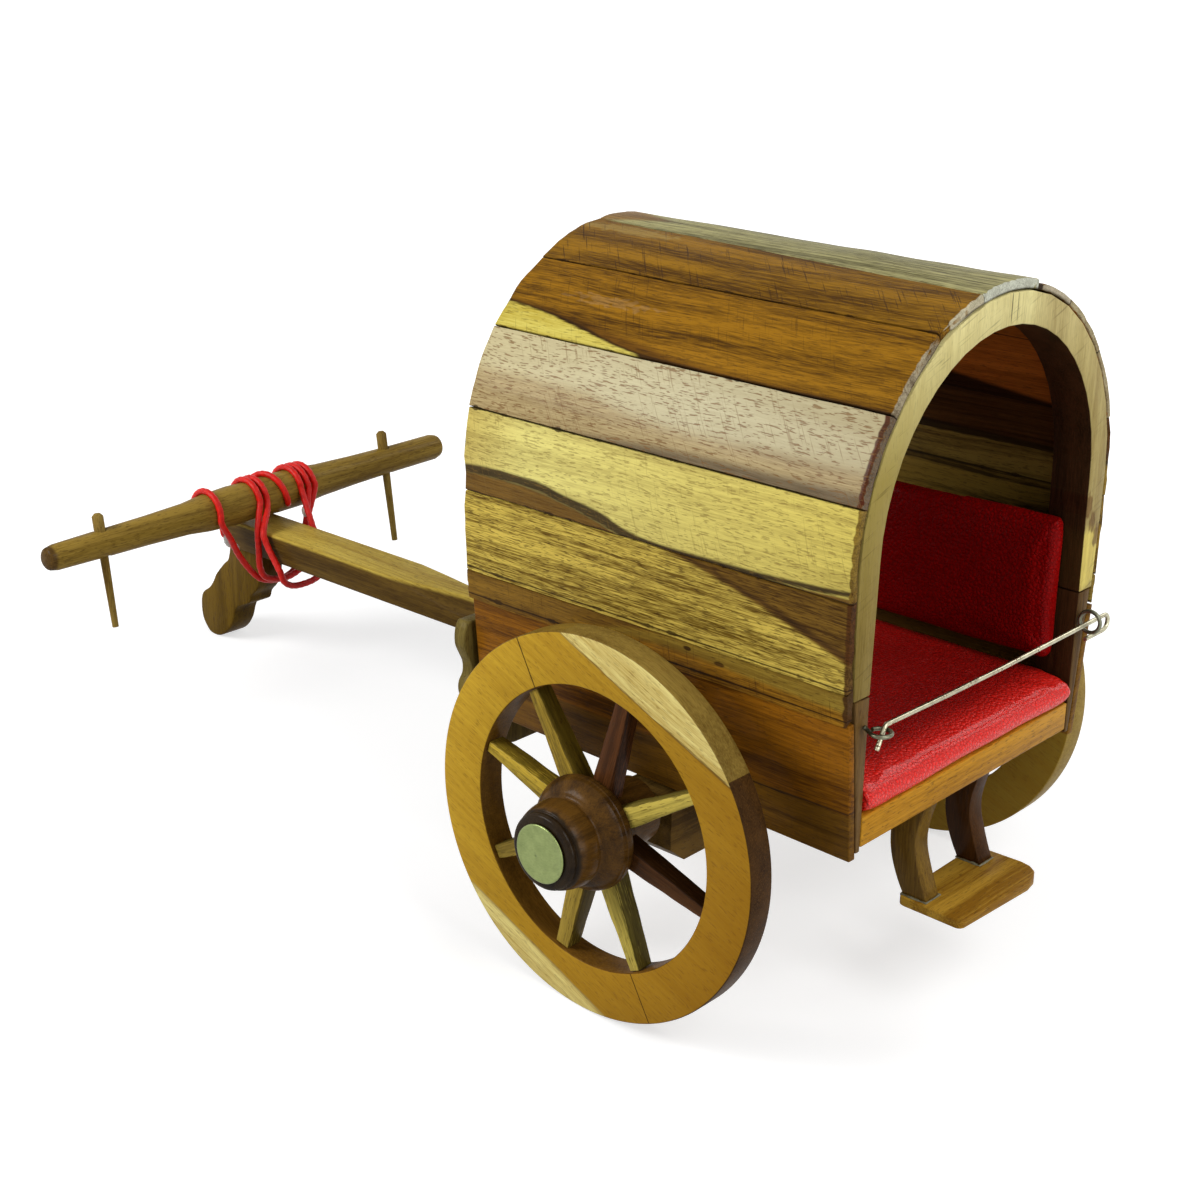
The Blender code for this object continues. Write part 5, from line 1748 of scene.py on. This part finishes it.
    def spokes(self) -> None:
        """Builds the hand-cut spokes."""
        light, dark, red, tan = (0.62, 0.48, 0.090), (0.085, 0.032, 0.009), (0.12, 0.042, 0.012), (0.38, 0.26, 0.040)
        grounds = ((0.60, 0.41, 0.045), (0.50, 0.33, 0.040), red, light, dark, light, tan, tan)
        for number, (angle, tip, ground) in enumerate(zip(self.angles, self.tips, grounds), start=1):
            turn = math.radians(angle)
            out = Vector((math.cos(turn), 0.0, math.sin(turn)))
            across = Vector((-math.sin(turn), 0.0, math.cos(turn)))
            rings = []
            tip_radius = (self.inner - 0.0003) * math.cos(tip / self.inner / 2)
            for i in range(self.spoke_steps + 1):
                t = i / self.spoke_steps
                radius = self.root + (tip_radius - self.root) * t
                half_w = (self.root_width + (tip - self.root_width) * t) / 2
                half_d = (self.spoke_depths[0] + (self.spoke_depths[1] - self.spoke_depths[0]) * t) / 2
                ring = []
                ease = self.spoke_edge
                for u, v in ((-1, -1), (1, -1), (1, 1), (-1, 1)):
                    corner = [(u * half_w, v * (half_d - ease)), (u * (half_w - ease * 0.3), v * (half_d - ease * 0.3)),
                              (u * (half_w - ease), v * half_d)]
                    for cu, cv in (corner if u * v > 0 else corner[::-1]):
                        point = Vector((0.0, self.side * (ARCH_R + 0.0180) + cv, AXLE_Z)) + out * radius + across * cu
                        if 0 < i < self.spoke_steps:
                            point += wobble(point, 0.006, 0.00018, number)
                        ring.append(parked(*point))
                rings.append(ring)
            # Painted shade, in part: both side faces of each spoke get darker colours.
            shade = tuple(c * 0.34 for c in ground)
            ends = [(a, 1000 * (0.0029 + (tip / 2 - 0.0029) * (a - 9.2) / 27.6)) for a in (-CURVE_END, CURVE_END)]
            deep = tuple(c * 0.45 for c in shade)
            sides = (Band(shade, deep, tuple((a, w - 0.13) for a, w in ends), flat(9), 0.08),
                     Band(shade, deep, flat(-9), tuple((a, 0.13 - w) for a, w in ends), 0.08))
            wood = Wood(ground, tuple(c * 0.42 for c in ground), lay=Turned(turn), seed=60 + number, wander=1.4,
                        lines=1.0, fibre=0.5, coat=0.07, marks=sides)
            add_piece(f"wheel_{self.name}_spoke_{number}_cut", skin("spoke", rings), f"wheel_{self.name}", "spoke_wood",
                      wood.make(f"spoke_{self.name}_{number}_wood"), f"wheel_{self.name}_spoke_{number}", sharp=50.0)

    def cap(self) -> None:
        """Builds the brass disc with its rounded rim."""
        start = ARCH_R + self.hub_profile[-1][0] + 0.0003
        rings = []
        for along, radius in ((0.0, 0.0070), (0.0, 0.0074), (0.00015, 0.0075), (0.00040, 0.0075), (0.00055, 0.00738),
                              (0.0006, 0.00715), (0.00056, 0.0069), (0.00058, 0.0050), (0.0006, 0.0010)):
            rings.append([self.at(start + along, radius, math.tau * k / self.turned_steps)
                          for k in range(self.turned_steps)])
        brass = Metal((0.27, 0.32, 0.125), (0.12, 0.155, 0.055), rust=(0.10, 0.10, 0.04), rusty=0.2, rough=0.36,
                      cloudy=0.9, dimple=Vector((1.1, 0.0, 49.2))).make(f"brass_{self.name}")
        add_piece(f"wheel_{self.name}_cap_disc", skin("cap", rings), f"wheel_{self.name}", "brass", brass,
                  f"wheel_{self.name}_cap", sharp=50.0)

    def build(self) -> None:
        """Builds the wheel."""
        self.rim()
        self.hub()
        self.spokes()
        self.cap()


# ---------------------------------------------------------------------------------------------------------------------
# Studio
# ---------------------------------------------------------------------------------------------------------------------
@dataclass
class Studio:
    """Camera, white floor, soft lamps and world."""

    camera_place: tuple[float, float, float] = (-0.36638, 0.40799, 0.29621)
    camera_turn: tuple[float, float, float] = (66.8862, -3.7722, -137.9913)
    lens: float = 61.542
    world: float = 0.27
    floor_bounce: float = 0.50
    floor_tone: float = 0.55
    floor_reach: float = 8.0
    floor_glow: tuple[tuple[float, float], ...] = ((0.12, 0.62), (0.42, 1.0))
    aim: tuple[float, float, float] = (-0.03, 0.0, 0.09)
    lamps: tuple[tuple[tuple[float, float, float], float, float], ...] = (
        ((0.36, 0.60, 0.46), 0.36, 4.6), ((-0.62, 0.12, 0.72), 0.36, 2.4),
        ((-0.15, -0.75, 0.60), 0.36, 1.4), ((-0.80, 0.04, 0.24), 0.30, 1.25))

    def camera(self) -> None:
        """Sets the camera at the photograph's angle."""
        data = bpy.data.cameras.new("camera")
        data.lens = self.lens
        data.sensor_width = 36.0
        data.clip_start = 0.01
        camera = bpy.data.objects.new("camera", data)
        camera.location = self.camera_place
        camera.rotation_euler = [math.radians(turn) for turn in self.camera_turn]
        bpy.context.scene.collection.objects.link(camera)
        bpy.context.scene.camera = camera

    def floor(self) -> None:
        """Lays the plain floor, which shows white to the camera and keeps a faint shadow."""
        mesh = bpy.data.meshes.new("floor")
        reach = self.floor_reach
        mesh.from_pydata([(-reach, -reach, 0), (reach, -reach, 0), (reach, reach, 0), (-reach, reach, 0)], [],
                         [(0, 1, 2, 3)])
        floor = bpy.data.objects.new("floor", mesh)
        bpy.context.scene.collection.objects.link(floor)
        g = Graph("floor_paper")
        place = g.node("ShaderNodeTexCoord", {}, {}, "Object")
        far = g.node("ShaderNodeVectorMath", {"operation": "LENGTH"}, {0: place}, "Value")
        stops = [(at, (tone, tone, tone)) for at, tone in self.floor_glow]
        glow = g.node("ShaderNodeValToRGB", {"stops": stops}, {0: far})
        seen = g.node("ShaderNodeBsdfPrincipled", {}, {
            "Base Color": (self.floor_tone, self.floor_tone, self.floor_tone), "Roughness": 0.9,
            "Specular IOR Level": 0.1, "Emission Color": glow, "Emission Strength": 1.0})
        for key, given in (("Base Color", (self.floor_bounce, self.floor_bounce, self.floor_bounce, 1.0)),
                           ("Roughness", 0.9), ("Specular IOR Level", 0.1)):
            g.shader.inputs[key].default_value = given
        g.blend(g.seen(), Value(g, g.shader.outputs[0]), seen)
        mesh.materials.append(g.material)

    def light(self) -> None:
        """Adds the world and the soft lamps."""
        g = Graph("studio", world=True)
        bpy.context.scene.world = g.material
        g.shader.inputs["Color"].default_value = (1.0, 1.0, 1.0, 1.0)
        g.shader.inputs["Strength"].default_value = self.world
        white = g.node("ShaderNodeBackground", {}, {"Color": (1.0, 1.0, 1.0), "Strength": 1.0})
        g.blend(g.seen(), Value(g, g.shader.outputs[0]), white)
        for number, (place, size, power) in enumerate(self.lamps, start=1):
            data = bpy.data.lights.new(f"softbox_{number}", "AREA")
            data.shape = "SQUARE"
            data.size = size
            data.energy = power
            lamp = bpy.data.objects.new(f"softbox_{number}", data)
            lamp.location = place
            lamp.rotation_euler = (Vector(self.aim) - Vector(place)).to_track_quat("-Z", "Y").to_euler()
            bpy.context.scene.collection.objects.link(lamp)

    def build(self) -> None:
        """Sets up the studio."""
        self.camera()
        self.floor()
        self.light()
        bpy.context.scene.view_settings.view_transform = "Standard"


def main() -> None:
    """Builds the studio and the cart's sub-assemblies in order."""
    logging.basicConfig(level=logging.INFO, format="%(name)s %(message)s")
    Studio().build()
    far = Wheel("right", -1, ((-50, (0.32, 0.200, 0.026)), (50, (0.42, 0.265, 0.032))),
                ((0.42, 0.29, 0.070), (0.22, 0.135, 0.028)), False)
    for part in (Hood(), Underbody(), Trim(), DraughtGear(), SafetyBar(), Wheel("left", 1), far):
        LOG.info("building %s", type(part).__name__)
        part.build()


if __name__ == "__main__":
    main()
